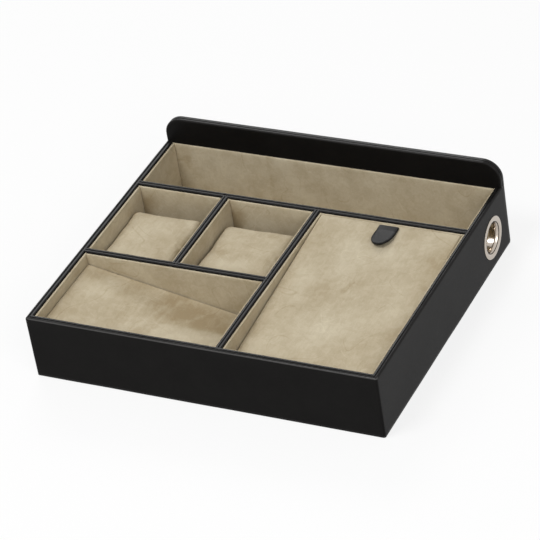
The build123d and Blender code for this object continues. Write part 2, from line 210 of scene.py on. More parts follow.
def finish_material(tree, colour, bump, **values):
    """A Principled shader with a colour, a bump and the values on its own sockets."""
    inputs = {"Base Color": colour, "Normal": bump, **values}
    shader = add(tree, "BsdfPrincipled", inputs)
    add(tree, "OutputMaterial", {"Surface": shader.outputs[0]})


def pigskin_suede(look):
    """Brushed pigskin suede, split and sanded: a matt nap that shades where it was stroked,
    with pores in faint clusters and fine creases."""
    material, tree, place = new_material("pigskin_suede_brushed")
    mottle = add(tree, "TexNoise", {"Vector": place, "Scale": 1 / (24 * MM), "Detail": 3.0})
    strokes = add(tree, "TexNoise", {
        "Vector": place, "Scale": 1 / (7 * MM), "Detail": 4.0, "Roughness": 0.62,
        "Distortion": 0.6})
    # Real fibres are about 0.2 mm long; they are drawn at 0.9 mm so that they show.
    fibres = add(tree, "TexNoise", {"Vector": place, "Scale": 1 / (0.9 * MM), "Detail": 2.0})
    # The sanding leaves streaks about 2 mm wide and 12 mm long that cross at an angle.
    streaks = []
    for turn in (0.6, -0.9):
        drawn = add(tree, "Mapping", {
            "Vector": place, "Rotation": (turn, 0.5 * turn, turn), "Scale": (1.0, 0.16, 1.0)})
        streaks.append(add(tree, "TexNoise", {
            "Vector": drawn.outputs[0], "Scale": 1 / (2.0 * MM), "Detail": 3.0, "Roughness": 0.55}))
    # Pores stand 2 to 3 mm apart in the hide.
    pores = add(tree, "TexVoronoi", {"Vector": place, "Scale": 1 / (2.4 * MM), "Randomness": 0.9})
    pore = add(tree, "MapRange", {
        "Value": pores.outputs["Distance"], "From Min": 0.10, "From Max": 0.24,
        "To Min": 1.0, "To Max": 0.0}, interpolation_type="SMOOTHSTEP")
    # Fine creases follow the level lines of a broad curling noise and show only in patches.
    patch = add(tree, "MapRange", {
        "Value": mottle.outputs[0], "From Min": 0.40, "From Max": 0.54},
        interpolation_type="SMOOTHSTEP")
    lines = []
    for size, level in ((58 * MM, 0.47), (41 * MM, 0.54)):
        curl = add(tree, "TexNoise", {
            "Vector": place, "Scale": 1 / size, "Detail": 1.0, "Roughness": 0.4, "Distortion": 0.9})
        gap = add(tree, "Math", {0: curl.outputs[0], 1: level}, operation="SUBTRACT")
        gap = add(tree, "Math", {0: gap.outputs[0]}, operation="ABSOLUTE")
        line = add(tree, "MapRange", {
            "Value": gap.outputs[0], "From Min": 0.0, "From Max": 0.007,
            "To Min": 1.0, "To Max": 0.0}, interpolation_type="SMOOTHSTEP")
        lines.append(add(tree, "Math", {0: line.outputs[0], 1: patch.outputs[0]},
                         operation="MULTIPLY"))
    # Brush marks run side by side in long curves: level lines of one broad noise.
    sweep = add(tree, "TexNoise", {
        "Vector": place, "Scale": 1 / (58 * MM), "Detail": 1.5, "Roughness": 0.4,
        "Distortion": 1.2})
    sweep = add(tree, "Math", {0: sweep.outputs[0], 1: 26.0}, operation="MULTIPLY")
    sweep = add(tree, "Math", {0: sweep.outputs[0], 1: 0.5}, operation="PINGPONG")
    mark = add(tree, "MapRange", {
        "Value": sweep.outputs[0], "From Min": 0.0, "From Max": 0.13,
        "To Min": 1.0, "To Max": 0.0}, interpolation_type="SMOOTHSTEP")
    here = add(tree, "MapRange", {
        "Value": mottle.outputs[0], "From Min": 0.50, "From Max": 0.62},
        interpolation_type="SMOOTHSTEP")
    mark = add(tree, "Math", {0: mark.outputs[0], 1: here.outputs[0]}, operation="MULTIPLY")
    # Crushed patches of the nap have fairly clear edges.
    crushed = add(tree, "MapRange", {
        "Value": strokes.outputs[0], "From Min": 0.44, "From Max": 0.56},
        interpolation_type="SMOOTHSTEP")
    # The nap attribute carries the nap's own tone and, on some pieces, painted shade and painted light.
    nap_and_shade = add(tree, "Attribute", attribute_name="nap_and_shade")
    tone = add(tree, "Math", {0: nap_and_shade.outputs["Fac"], 1: look.nap_shade, 2: 0.5},
               operation="MULTIPLY_ADD")
    for socket, middle, share in (
        (mottle.outputs[0], 0.5, 0.36), (strokes.outputs[0], 0.5, 0.20),
        (fibres.outputs[0], 0.5, 0.24),
        (crushed.outputs[0], 0.5, 0.08),
        (streaks[0].outputs[0], 0.5, 0.22), (streaks[1].outputs[0], 0.5, 0.18),
        (pore.outputs[0], 0.1, -0.08), (lines[0].outputs[0], 0.0, -0.21),
        (lines[1].outputs[0], 0.0, 0.15),
        (mark.outputs[0], 0.0, -0.06),
    ):
        part = add(tree, "Math", {0: socket, 1: middle}, operation="SUBTRACT")
        tone = add(tree, "Math", {0: part.outputs[0], 1: share, 2: tone.outputs[0]},
                   operation="MULTIPLY_ADD")
    colour = add(tree, "Mix", {0: tone.outputs[0], 6: look.suede_deep, 7: look.suede_pale},
                 data_type="RGBA", clamp_factor=True)
    rough = add(tree, "Math", {0: fibres.outputs[0], 1: 1.2}, operation="MULTIPLY")
    for dent in (lines[0], pore):
        rough = add(tree, "Math", {0: dent.outputs[0], 1: -0.5, 2: rough.outputs[0]},
                    operation="MULTIPLY_ADD")
    bump = add(tree, "Bump", {"Height": rough.outputs[0], "Strength": 0.35, "Distance": 0.12 * MM})
    finish_material(
        tree, colour.outputs[2], bump.outputs[0], Roughness=0.95,
        **{"Specular IOR Level": 0.15, "Sheen Weight": 0.22, "Sheen Roughness": 0.5,
           "Sheen Tint": look.suede_pale})
    return material


def grained_leather(look, name, gloss_level, roughness):
    """Smooth calf leather, dyed black and pressed with a fine grain: small pebbles under a thin
    topcoat. Flat it is nearly matt; drawn hard over an edge and rubbed down it is burnished."""
    material, tree, place = new_material(name)
    # Real grain cells are about 0.4 mm; they are drawn at 0.8 mm so that they show.
    pebbles = add(tree, "TexVoronoi",
                  {"Vector": place, "Scale": 1 / (0.8 * MM), "Randomness": 0.85},
                  feature="DISTANCE_TO_EDGE")
    pebble = add(tree, "MapRange",
                 {"Value": pebbles.outputs["Distance"], "From Min": 0.0, "From Max": 0.3},
                 interpolation_type="SMOOTHSTEP")
    cloud = add(tree, "TexNoise", {"Vector": place, "Scale": 1 / (20 * MM), "Detail": 3.0})
    fine = add(tree, "TexNoise",
               {"Vector": place, "Scale": 1 / (2.2 * MM), "Detail": 4.0, "Roughness": 0.6})
    edge = add(tree, "Attribute", attribute_name="edge")
    tone = add(tree, "Math", {0: cloud.outputs[0], 1: 0.5, 2: 0.05}, operation="MULTIPLY_ADD")
    tone = add(tree, "Math", {0: fine.outputs[0], 1: 0.35, 2: tone.outputs[0]},
               operation="MULTIPLY_ADD")
    tone = add(tree, "Math", {0: edge.outputs["Fac"], 1: 0.35, 2: tone.outputs[0]},
               operation="MULTIPLY_ADD")
    colour = add(tree, "Mix", {0: tone.outputs[0], 6: look.leather_deep, 7: look.leather_pale},
                 data_type="RGBA", clamp_factor=True)
    # Past an edge value of 1 the colour turns to a painted highlight: the thin bright line along the front fold.
    painted_highlight = add(tree, "MapRange", {"Value": edge.outputs["Fac"], "From Min": 1.0, "From Max": 2.0})
    colour = add(tree, "Mix", {0: painted_highlight.outputs[0], 6: colour.outputs[2], 7: look.fold_highlight_paint},
                 data_type="RGBA")
    gloss = add(tree, "Math", {0: fine.outputs[0], 1: 0.16, 2: roughness - 0.08},
                operation="MULTIPLY_ADD")
    gloss = add(tree, "Math", {0: edge.outputs["Fac"], 1: -0.05, 2: gloss.outputs[0]},
                operation="MULTIPLY_ADD")
    height = add(tree, "Math", {0: fine.outputs[0], 1: 0.5, 2: pebble.outputs[0]},
                 operation="MULTIPLY_ADD")
    bump = add(tree, "Bump", {"Height": height.outputs[0], "Strength": 0.22, "Distance": 0.05 * MM})
    finish_material(
        tree, colour.outputs[2], bump.outputs[0], Roughness=gloss.outputs[0],
        **{"Specular IOR Level": gloss_level})
    return material


def waxed_thread(look):
    """Bonded nylon thread, twisted from three strands: round ridges across the stitch."""
    material, tree, place = new_material("bonded_thread_twisted")
    # Strands cross the thread every 0.5 mm.
    twist = add(tree, "TexWave", {"Vector": place, "Scale": 1 / (0.5 * MM) / 20, "Distortion": 1.0},
                bands_direction="DIAGONAL")
    colour = add(tree, "Mix", {0: twist.outputs[0], 6: look.leather_deep, 7: look.leather_pale},
                 data_type="RGBA")
    bump = add(tree, "Bump", {"Height": twist.outputs[0], "Strength": 0.3, "Distance": 0.05 * MM})
    finish_material(tree, colour.outputs[2], bump.outputs[0], Roughness=0.5)
    return material


def polished_nickel(look):
    """Bright nickel plate over brass, pressed and buffed: warm mirror with faint rub marks."""
    material, tree, place = new_material("nickel_plate_buffed")
    # Buffing marks are under 0.1 mm wide; they are drawn 0.6 mm apart so that they show.
    marks = add(tree, "TexNoise", {"Vector": place, "Scale": 1 / (0.6 * MM), "Detail": 4.0,
        "Roughness": 0.7})
    haze = add(tree, "TexNoise", {"Vector": place, "Scale": 1 / (6 * MM), "Detail": 2.0})
    colour = add(tree, "Mix", {0: haze.outputs[0], 6: look.nickel_deep, 7: look.nickel_pale},
                 data_type="RGBA")
    gloss = add(tree, "Math", {0: marks.outputs[0], 1: 0.10, 2: 0.13}, operation="MULTIPLY_ADD")
    bump = add(tree, "Bump", {"Height": marks.outputs[0], "Strength": 0.03, "Distance": 0.02 * MM})
    finish_material(tree, colour.outputs[2], bump.outputs[0], Metallic=1.0,
                    Roughness=gloss.outputs[0])
    return material


def plain_steel(look):
    """Cold-rolled steel washer, tumbled: grey with a dull, even scratch."""
    material, tree, place = new_material("steel_tumbled")
    marks = add(tree, "TexNoise", {"Vector": place, "Scale": 1 / (0.8 * MM), "Detail": 5.0,
        "Roughness": 0.7})
    colour = add(tree, "Mix", {0: marks.outputs[0], 6: linear("#8E8D8A"), 7: linear("#C2C0BC")},
                 data_type="RGBA")
    gloss = add(tree, "Math", {0: marks.outputs[0], 1: 0.2, 2: 0.28}, operation="MULTIPLY_ADD")
    bump = add(tree, "Bump", {"Height": marks.outputs[0], "Strength": 0.1, "Distance": 0.03 * MM})
    finish_material(tree, colour.outputs[2], bump.outputs[0], Metallic=1.0,
                    Roughness=gloss.outputs[0])
    return material


def raw_board(name, deep, pale, fibre):
    """Pressed wood fibre or grey card, cut and left raw: flat, dusty colour, flecks of fibre."""
    material, tree, place = new_material(name)
    flecks = add(tree, "TexNoise", {"Vector": place, "Scale": 1 / (fibre * MM), "Detail": 6.0,
        "Roughness": 0.7})
    colour = add(tree, "Mix", {0: flecks.outputs[0], 6: linear(deep), 7: linear(pale)},
                 data_type="RGBA")
    bump = add(tree, "Bump", {"Height": flecks.outputs[0], "Strength": 0.3, "Distance": 0.1 * MM})
    finish_material(tree, colour.outputs[2], bump.outputs[0], Roughness=0.9,
                    **{"Specular IOR Level": 0.25})
    return material


def pressed_felt(look):
    """Needled black felt: tangled fibres with a soft bloom and no shine."""
    material, tree, place = new_material("felt_needled")
    # Fibres are 0.03 mm thick; the tangle is drawn at 1.2 mm so that it shows.
    tangle = add(tree, "TexNoise", {
        "Vector": place, "Scale": 1 / (1.2 * MM), "Detail": 6.0, "Roughness": 0.75,
        "Distortion": 2.0})
    colour = add(tree, "Mix", {0: tangle.outputs[0], 6: linear("#0B0B0C"), 7: linear("#262628")},
                 data_type="RGBA")
    bump = add(tree, "Bump", {"Height": tangle.outputs[0], "Strength": 0.6, "Distance": 0.3 * MM})
    finish_material(tree, colour.outputs[2], bump.outputs[0], Roughness=1.0,
                    **{"Specular IOR Level": 0.1, "Sheen Weight": 0.3, "Sheen Roughness": 0.6})
    return material


MATERIALS = {}


def finish_for(slot):
    """The material of a record slot, made once."""
    look = bpy.context.scene.valet_look
    makers = {
        "tan_suede": lambda: pigskin_suede(look),
        "black_leather": lambda: grained_leather(
            look, "calf_leather_fine_grain", look.leather_gloss, look.leather_roughness),
        "burnished_edge": lambda: grained_leather(
            look, "calf_leather_burnished", look.edge_gloss, look.edge_roughness),
        "thread": lambda: waxed_thread(look),
        "bright_nickel": lambda: polished_nickel(look),
        "steel_washer": lambda: plain_steel(look),
        "fibreboard": lambda: raw_board("fibreboard_sawn", "#8A6A47", "#B5936B", 1.5),
        "grey_card": lambda: raw_board("grey_card_cut", "#7D7870", "#A39D93", 1.1),
        "black_felt": lambda: pressed_felt(look),
    }
    if slot not in MATERIALS:
        MATERIALS[slot] = makers[slot]()
    return MATERIALS[slot]


# ---------------------------------------------------------------- suede

def suede_card(name, corner, along, across, thickness, edge_reach, step, sizes, seed,
               swell=0.0, strokes=(), seams=()):
    """A covered card with round edges, closed.

    Formula: corner + u along + v across, then half the thickness up for the face and down for the
    back, times a quarter circle of each edge's distance, so both sides meet in the middle of the
    edge. The face also carries a low ripple and a swell, both nought at the edges.
    strokes are (start, end, width, depth, crispness) smears of the nap's tone, some of them painted shade and
    painted light;
    seams are grooves as (u, width, depth, change of the nap's tone past it)."""
    along, across = np.array(along), np.array(across)
    up = np.cross(along, across)
    length, width = sizes
    u = spaced(length, edge_reach, step)
    v = spaced(width, edge_reach, step)
    grid_u, grid_v = np.meshgrid(u, v, indexing="ij")
    inset_u = np.minimum(grid_u, length - grid_u)
    inset_v = np.minimum(grid_v, width - grid_v)
    height = thickness / 2 * rounding(inset_u, edge_reach) * rounding(inset_v, edge_reach)
    middle = np.array(corner) + grid_u[..., None] * along + grid_v[..., None] * across
    fade = np.clip(inset_u / (6 * MM), 0, 1) * np.clip(inset_v / (6 * MM), 0, 1)
    uneven = (0.10 * MM * ripple(middle, 34 * MM, seed)
              + 0.05 * MM * ripple(middle, 12 * MM, seed + 1))
    dome = swell * (4 * grid_u * (length - grid_u) / length ** 2) ** 0.7
    dome = dome * (4 * grid_v * (width - grid_v) / width ** 2) ** 0.7
    face = height + fade * uneven + dome
    nap_and_shade = 0.55 * ripple(middle, 40 * MM, seed + 2) + 0.35 * ripple(middle, 15 * MM, seed + 3)
    for start, end, reach, depth, crisp in strokes:
        nap_and_shade = nap_and_shade + depth * smear(middle, start, end, reach, crisp)
    for place, reach, depth, step_tone in seams:
        line = np.exp(-((grid_u - place) / reach) ** 2)
        face = face - depth * line * fade
        nap_and_shade = nap_and_shade - 1.6 * line + step_tone * (grid_u > place)
    top = middle + face[..., None] * up
    under = middle - height[..., None] * up
    points = np.concatenate([top.reshape(-1, 3), under.reshape(-1, 3)])
    rows, columns = grid_u.shape
    faces = np.concatenate([
        grid_faces(rows, columns), grid_faces(rows, columns, rows * columns)[:, ::-1]])
    values = {"nap_and_shade": np.concatenate([nap_and_shade.ravel(), nap_and_shade.ravel()])}
    return make_piece(name, points, faces, finish_for("tan_suede"), values, sharp=60)


def liner_card(node, inward, seed, **extra):
    """A suede card in the place of a CAD liner; inward is the axis and sign that its face looks."""
    low, high = node_box(node)
    if inward != "+z":
        # The card ends a little below the rim, so that a dark edge of leather shows over it.
        high[2] = min(high[2], SIZES["rim"] - SIZES["card_below_rim"])
    size = high - low
    axis = {"x": 0, "y": 1, "z": 2}[inward[1]]
    sign = 1 if inward[0] == "+" else -1
    first, second = [a for a in range(3) if a != axis]
    along, across = np.eye(3)[first], np.eye(3)[second]
    if np.cross(along, across)[axis] * sign < 0:
        first, second = second, first
        along, across = across, along
    corner = low.copy()
    corner[axis] = (low[axis] + high[axis]) / 2
    thickness = size[axis]
    return suede_card(
        node + "_suede", corner, along, across, thickness, 0.45 * MM, 3.0 * MM,
        (size[first], size[second]), seed, **extra)


def holed_card(node, centre, radius, seed):
    """The suede card round the grommet: rings of points that run from the hole to the card's edge.

    Formula: hole + s (edge - hole) at each angle, with a quarter circle of height at both ends."""
    low, high = node_box(node)
    high[2] = min(high[2], SIZES["rim"] - SIZES["card_below_rim"])
    thickness = high[0] - low[0]
    sides = 160
    angle = np.linspace(0, 2 * math.pi, sides, endpoint=False)
    cos, sin = np.cos(angle), np.sin(angle)
    corner_angles = [math.atan2(z - centre[1], y - centre[0])
                     for y in (low[1], high[1]) for z in (low[2], high[2])]
    for corner_angle in corner_angles:
        nearest = np.argmin(np.abs(np.angle(np.exp(1j * (angle - corner_angle)))))
        cos[nearest], sin[nearest] = math.cos(corner_angle), math.sin(corner_angle)
    reach_y = (np.where(cos > 0, high[1] - centre[0], centre[0] - low[1])
               / np.maximum(np.abs(cos), 1e-9))
    reach_z = (np.where(sin > 0, high[2] - centre[1], centre[1] - low[2])
               / np.maximum(np.abs(sin), 1e-9))
    reach = np.minimum(reach_y, reach_z)
    s = spaced(1.0, 0.06, 0.09, bends=5)[:, None]
    distance = radius + s * (reach - radius)
    near_hole = distance - radius
    near_edge = (reach - distance) * np.maximum(np.abs(cos), np.abs(sin))
    edge_reach = thickness / 2
    height = edge_reach * rounding(near_hole, edge_reach) * rounding(near_edge, edge_reach)
    y, z = centre[0] + distance * cos, centre[1] + distance * sin
    x = (low[0] + high[0]) / 2
    face = np.stack([x - height, y, z], axis=-1)
    back = np.stack([x + height, y, z], axis=-1)
    points = np.concatenate([face.reshape(-1, 3), back.reshape(-1, 3)])
    rows, columns = face.shape[:2]
    faces = np.concatenate([
        grid_faces(rows, columns, wrap_columns=True),
        grid_faces(rows, columns, rows * columns, wrap_columns=True)[:, ::-1]])
    nap_and_shade = 0.55 * ripple(points, 40 * MM, seed)
    return make_piece(node + "_suede", points, faces, finish_for("tan_suede"), {"nap_and_shade": nap_and_shade},
                      sharp=60)


# ---------------------------------------------------------------- leather

def rim_profile(width, drop_outside, drop_inside, outer_round, groove_at):
    """(inset, height below the rim, wear) along the leather's section: up the outside, a quarter
    circle, the flat top with a creased groove, a smaller quarter circle, down the inside."""
    angle = np.linspace(0, math.pi / 2, 8)[1:-1]
    inner_round, step = SIZES["fold_round"], SIZES["section_step"]
    outside = np.linspace(drop_outside, outer_round,
                          max(3, int((drop_outside - outer_round) / step)))
    inside = np.linspace(inner_round, drop_inside, max(3, int((drop_inside - inner_round) / step)))
    groove = groove_at + np.array([-0.80, -0.55, -0.30, 0.30, 0.55, 0.80]) * MM
    flat_end = width - inner_round
    top = np.concatenate([[outer_round], groove, [(groove[-1] + flat_end) / 2, flat_end]])
    sunk = np.array([0, 0, 0.35, 0.6, 0.6, 0.35, 0, 0, 0]) * MM
    shine = np.array([1.0, 1.0, 0.3, 0.0, 0.0, 0.3, 1.0, 1.0, 1.0])
    inset = np.concatenate([
        0 * outside, outer_round * (1 - np.cos(angle)), top,
        width - inner_round * (1 - np.sin(angle)), width + 0 * inside])
    below = np.concatenate([
        outside, outer_round * (1 - np.sin(angle)), sunk,
        inner_round * (1 - np.cos(angle)), inside])
    wear_and_highlight = np.concatenate([
        0.45 * np.exp(-((outside - outer_round) / (2.5 * MM))), 1 + 0 * angle, shine,
        1 + 0 * angle, 0 * inside])
    return inset, below, wear_and_highlight


def drawn_leather(name, middle, outward, wear_and_highlight, drop=None):
    """A leather sheet from a grid of points and its outward direction, with its thickness inwards.

    The sheet lifts by a low ripple, a little more where it is drawn over the edge."""
    look = bpy.context.scene.valet_look
    lift = look.leather_unevenness * ripple(middle, 46 * MM, 70)
    lift = lift + 0.35 * look.leather_unevenness * wear_and_highlight * ripple(middle, 14 * MM, 71)
    points = middle + (lift - look.leather_unevenness)[..., None] * outward
    rows, columns = points.shape[:2]
    faces = grid_faces(rows, columns)
    if drop is not None:
        faces = faces[~drop.ravel()[faces].all(axis=1)]
    flat = points.reshape(-1, 3)
    quad = faces[len(faces) // 2]
    facing = np.cross(flat[quad[1]] - flat[quad[0]], flat[quad[3]] - flat[quad[0]])
    if facing @ outward.reshape(-1, 3)[quad[0]] < 0:
        faces = faces[:, ::-1]
    piece = make_piece(name, points, faces, finish_for("black_leather"),
                       {"edge": np.broadcast_to(wear_and_highlight, points.shape[:2])}, closed=False)
    burnish(piece, 0.5)
    thickness = piece.modifiers.new("thickness", "SOLIDIFY")
    thickness.thickness = look.leather_thickness
    thickness.offset = -1
    return piece


def walls_leather(name, node, hole_centre, hole_radius):
    """The leather round the front and side walls.

    Formula: the section rim_profile is carried along a U: down the left wall, a corner arc, the
    front, a corner arc and up the right wall. A point at inset d lies on the U drawn d further in.
    Points inside the grommet's hole move out to its edge, and the faces between them go."""
    low, high = node_box(node)
    wall = SIZES["wall"]
    high[1] += SIZES["panel_lap"]
    inset, below, wear_and_highlight = rim_profile(
        wall, high[2] - low[2], SIZES["inner_drop"], SIZES["wall_round"], 2.6 * MM)
    radius = np.maximum(1.8 * MM - inset, 0.5 * MM)[None, :]
    reach = inset[None, :] + radius
    turn = np.linspace(0, math.pi / 2, 9)[1:-1, None]
    side = np.linspace(0, 1, 118)[:, None]
    front = np.linspace(0, 1, 134)[:, None]
    left_x = low[0] + inset[None, :] + 0 * side
    side_y = high[1] + side * (low[1] + reach - high[1])
    arc_x = low[0] + reach - radius * np.cos(turn)
    arc_y = low[1] + reach - radius * np.sin(turn)
    front_x = low[0] + reach + front * (high[0] - low[0] - 2 * reach)
    front_y = low[1] + inset[None, :] + 0 * front
    x = np.concatenate([left_x, arc_x, front_x, (low[0] + high[0] - arc_x)[::-1],
                        (low[0] + high[0] - left_x)[::-1]])
    y = np.concatenate([side_y, arc_y, front_y, arc_y[::-1], side_y[::-1]])
    z = high[2] - below[None, :] + 0 * x
    middle = np.stack([x, y, z], axis=-1)
    outward = grid_outward(middle)
    on_right = (middle[..., 0] > high[0] - 0.5 * MM) & (below > 3 * MM)[None, :]
    offset = middle[..., 1:] - np.array(hole_centre)
    distance = np.maximum(np.linalg.norm(offset, axis=-1), 1e-9)
    inside = on_right & (distance < hole_radius)
    scale = np.where(inside, hole_radius / distance, 1.0)
    middle[..., 1:] = np.array(hole_centre) + offset * scale[..., None]
    # Paler leather along the front fold is a painted highlight: it stands for the thin bright line a lamp draws
    # there.
    bead = (inset > 0.1 * MM) & (inset < 0.8 * MM)
    painted_highlight = bead[None, :] & (y < low[1] + 2 * MM)
    wear_and_highlight = np.where(painted_highlight, 1.8, wear_and_highlight[None, :] * np.ones_like(x))
    return drawn_leather(name, middle, outward, wear_and_highlight, inside)


def grid_outward(points):
    """Unit normals of a grid from its neighbours, pointing away from the inside of the section."""
    step_u = np.gradient(points, axis=0)
    step_v = np.gradient(points, axis=1)
    normal = np.cross(step_u, step_v)
    length = np.linalg.norm(normal, axis=-1, keepdims=True)
    return normal / np.maximum(length, 1e-12)


def divider_leather(name, node, axis):
    """The leather over one divider: the section rim_profile carried straight along it."""
    low, high = node_box(node)
    other = 1 - axis
    width = high[other] - low[other]
    inset, below, wear_and_highlight = rim_profile(
        width, SIZES["inner_drop"], SIZES["inner_drop"], SIZES["fold_round"], width / 2)
    count = max(8, int((high[axis] - low[axis]) / (2.4 * MM)))
    along = np.linspace(low[axis] - 1.4 * MM, high[axis] + 1.4 * MM, count)[:, None]
    middle = np.zeros((count, len(inset), 3))
    middle[..., axis] = along
    middle[..., other] = low[other] + inset[None, :]
    middle[..., 2] = high[2] - 0.05 * MM - below[None, :]
    outward = grid_outward(middle)
    top = len(inset) // 2
    if outward[count // 2, top, 2] < 0:
        outward = -outward
    wear_and_highlight = wear_and_highlight[None, :] * np.ones((count, 1))
    return drawn_leather(name, middle, outward, wear_and_highlight)


def panel_leather(name, node):
    """The tall back panel in leather, closed.

    Formula: the outline is two sides, two corner arcs and the top. Each ring of the edge is that
    outline drawn in by an inset at a depth, and the flat faces are rows between mirrored points of
    the first and last ring."""
    low, high = node_box(node)
    front, back = SIZES["panel_front"], high[1]
    thick = back - front
    round_off, corner = 1.1 * MM, SIZES["panel_corner"]
    look = bpy.context.scene.valet_look
    # (inset, depth behind the front face) round the edge, front to back: a tight edge, a groove
    # where the facing meets the wrap, and a softer rear edge.
    turn = np.linspace(0, math.pi / 2, 7)
    first = [(round_off * (1 - math.sin(t)), round_off * (1 - math.cos(t))) for t in turn]
    groove = [(0.0, 2.1 * MM), (0.2 * MM, 2.35 * MM), (0.5 * MM, 2.6 * MM), (0.5 * MM, 2.8 * MM),
              (0.2 * MM, 3.05 * MM), (0.0, 3.3 * MM)]
    rear = 1.6 * MM
    last = [(rear * (1 - math.cos(t)), thick - rear * (1 - math.sin(t))) for t in turn]
    edge = [(4.0 * MM, 0.0), (2.2 * MM, 0.0)] + first + groove + last
    side_rows = np.linspace(0, 1, 60)
    arc_rows = np.linspace(0, math.pi / 2, 14)[1:]
    columns = np.linspace(0, 1, 120)
    half = (high[0] - low[0]) / 2
    centre_x = (high[0] + low[0]) / 2

    def left_points(inset):
        """The left side and corner arc of the outline, drawn in by inset."""
        side_z = low[2] + inset + side_rows * (high[2] - corner - low[2] - inset)
        arc_x = -half + corner - (corner - inset) * np.cos(arc_rows)
        arc_z = high[2] - corner + (corner - inset) * np.sin(arc_rows)
        lapped = np.where(side_z < SIZES["rim"] - 1.6 * MM, 0.5 * MM, 0.0)
        x = np.concatenate([-half + np.maximum(inset, lapped), arc_x])
        return x, np.concatenate([side_z, arc_z])

    def flat_face(inset, depth):
        """Rows between the mirrored points of the outline."""
        x, z = left_points(inset)
        grid_x = centre_x + x[:, None] * (1 - 2 * columns[None, :])
        grid_z = z[:, None] + 0 * grid_x
        return np.stack([grid_x, front + depth + 0 * grid_x, grid_z], axis=-1)

    def ring(inset, depth):
        """The face's closed border: up the left, along the top, down the right, back below."""
        face = flat_face(inset, depth)
        return np.concatenate([face[:, 0], face[-1, 1:], face[-2::-1, -1], face[0, -2:0:-1]])

    face_front, face_back = flat_face(*edge[0]), flat_face(*edge[-1])
    rings = np.stack([ring(*pair) for pair in edge])
    rows, wide = face_front.shape[:2]
    points = np.concatenate([face_front.reshape(-1, 3), face_back.reshape(-1, 3),
                             rings.reshape(-1, 3)])
    lift = look.leather_unevenness * ripple(points, 55 * MM, 72)
    inside = np.sign(points[:, 1] - (front + back) / 2)
    points[:, 1] += (lift - look.leather_unevenness) * inside
    faces = np.concatenate([
        grid_faces(rows, wide), grid_faces(rows, wide, rows * wide),
        grid_faces(len(edge), rings.shape[1], 2 * rows * wide, wrap_columns=True)])
    ring_edge = np.array([0.0, 0.0] + [1.0] * 7 + [1.0, 0.4, 0.1, 0.1, 0.4, 1.0] + [1.0] * 7)
    wear_and_highlight = np.concatenate([np.zeros(2 * rows * wide), np.repeat(ring_edge, rings.shape[1])])
    panel = make_piece(name, points, faces, finish_for("black_leather"), {"edge": wear_and_highlight})
    burnish(panel, 0.5)
    return panel


# ---------------------------------------------------------------- cushions

def cushion_form(name, node, moves, slack):
    """A watch cushion before it is filled; moves shift its left and right side, slack shrinks it.

    Formula: the section (inset, height) goes round a rectangle with round corners: over the foot's
    edge, up the side and over the top edge. A point at inset d lies on the outline drawn d further
    in. The top and the foot close by rings that shrink to the middle, the top one with a crown."""
    low, high = (corner.copy() for corner in node_box(node))
    low += np.array([moves[0] + slack, slack - 0.3 * MM, 0.2 * MM])
    high += np.array([moves[1] - slack, 0.3 * MM - slack, 0.5 * MM - slack])
    foot, brim, crown = 2.4 * MM, 2.6 * MM, 1.0 * MM
    tall = high[2] - low[2] - crown
    turn = np.linspace(0, math.pi / 2, 7)
    inset = np.concatenate([foot * (1 - np.sin(turn)), 0 * np.linspace(0, 1, 12),
                            brim * (1 - np.cos(turn))])
    z = low[2] + np.concatenate([
        foot * (1 - np.cos(turn)), np.linspace(foot, tall - brim, 14)[1:-1],
        tall - brim * (1 - np.sin(turn))])
    # Each corner: its place, its radius and where its arc starts; the rear left one is the softest.
    arcs = []
    for x_side, y_side, radius, start in (
            (1, 1, 2.6 * MM, 0.0), (-1, 1, 5.0 * MM, 0.5), (-1, -1, 3.5 * MM, 1.0),
            (1, -1, 3.5 * MM, 1.5)):
        bend = math.pi * (start + np.linspace(0, 0.5, 9))
        kept = np.maximum(radius - inset, 0.2 * MM)[:, None]
        reach = inset[:, None] + kept
        x = (high[0] - reach if x_side > 0 else low[0] + reach) + kept * np.cos(bend)
        y = (high[1] - reach if y_side > 0 else low[1] + reach) + kept * np.sin(bend)
        arcs.append(np.stack([x, y], axis=-1))
    sides = []
    for arc, following in zip(arcs, arcs[1:] + arcs[:1]):
        share = np.linspace(0, 1, 26)[None, 1:-1, None]
        sides += [arc, arc[:, -1:] + share * (following[:, :1] - arc[:, -1:])]
    outline = np.concatenate(sides, axis=1)
    rings = np.concatenate([outline, np.broadcast_to(z[:, None, None], (*outline.shape[:2], 1))],
                           axis=-1)
    centre = np.array([(low[0] + high[0]) / 2, (low[1] + high[1]) / 2, 0])
    shares = np.array([0.85, 0.7, 0.5, 0.3, 0.12, 0.0])[:, None, None]
    top = centre + (rings[-1] - centre)[None] * shares
    top[..., 2] = rings[-1, 0, 2] + crown * (1 - shares[..., 0] ** 2.5)
    under = centre + (rings[0] - centre)[None] * shares
    under[..., 2] = rings[0, 0, 2]
    points = np.concatenate([under[::-1], rings, top])
    faces = grid_faces(len(points), points.shape[1], wrap_columns=True)
    return make_piece(name, points, faces, finish_for("tan_suede"))


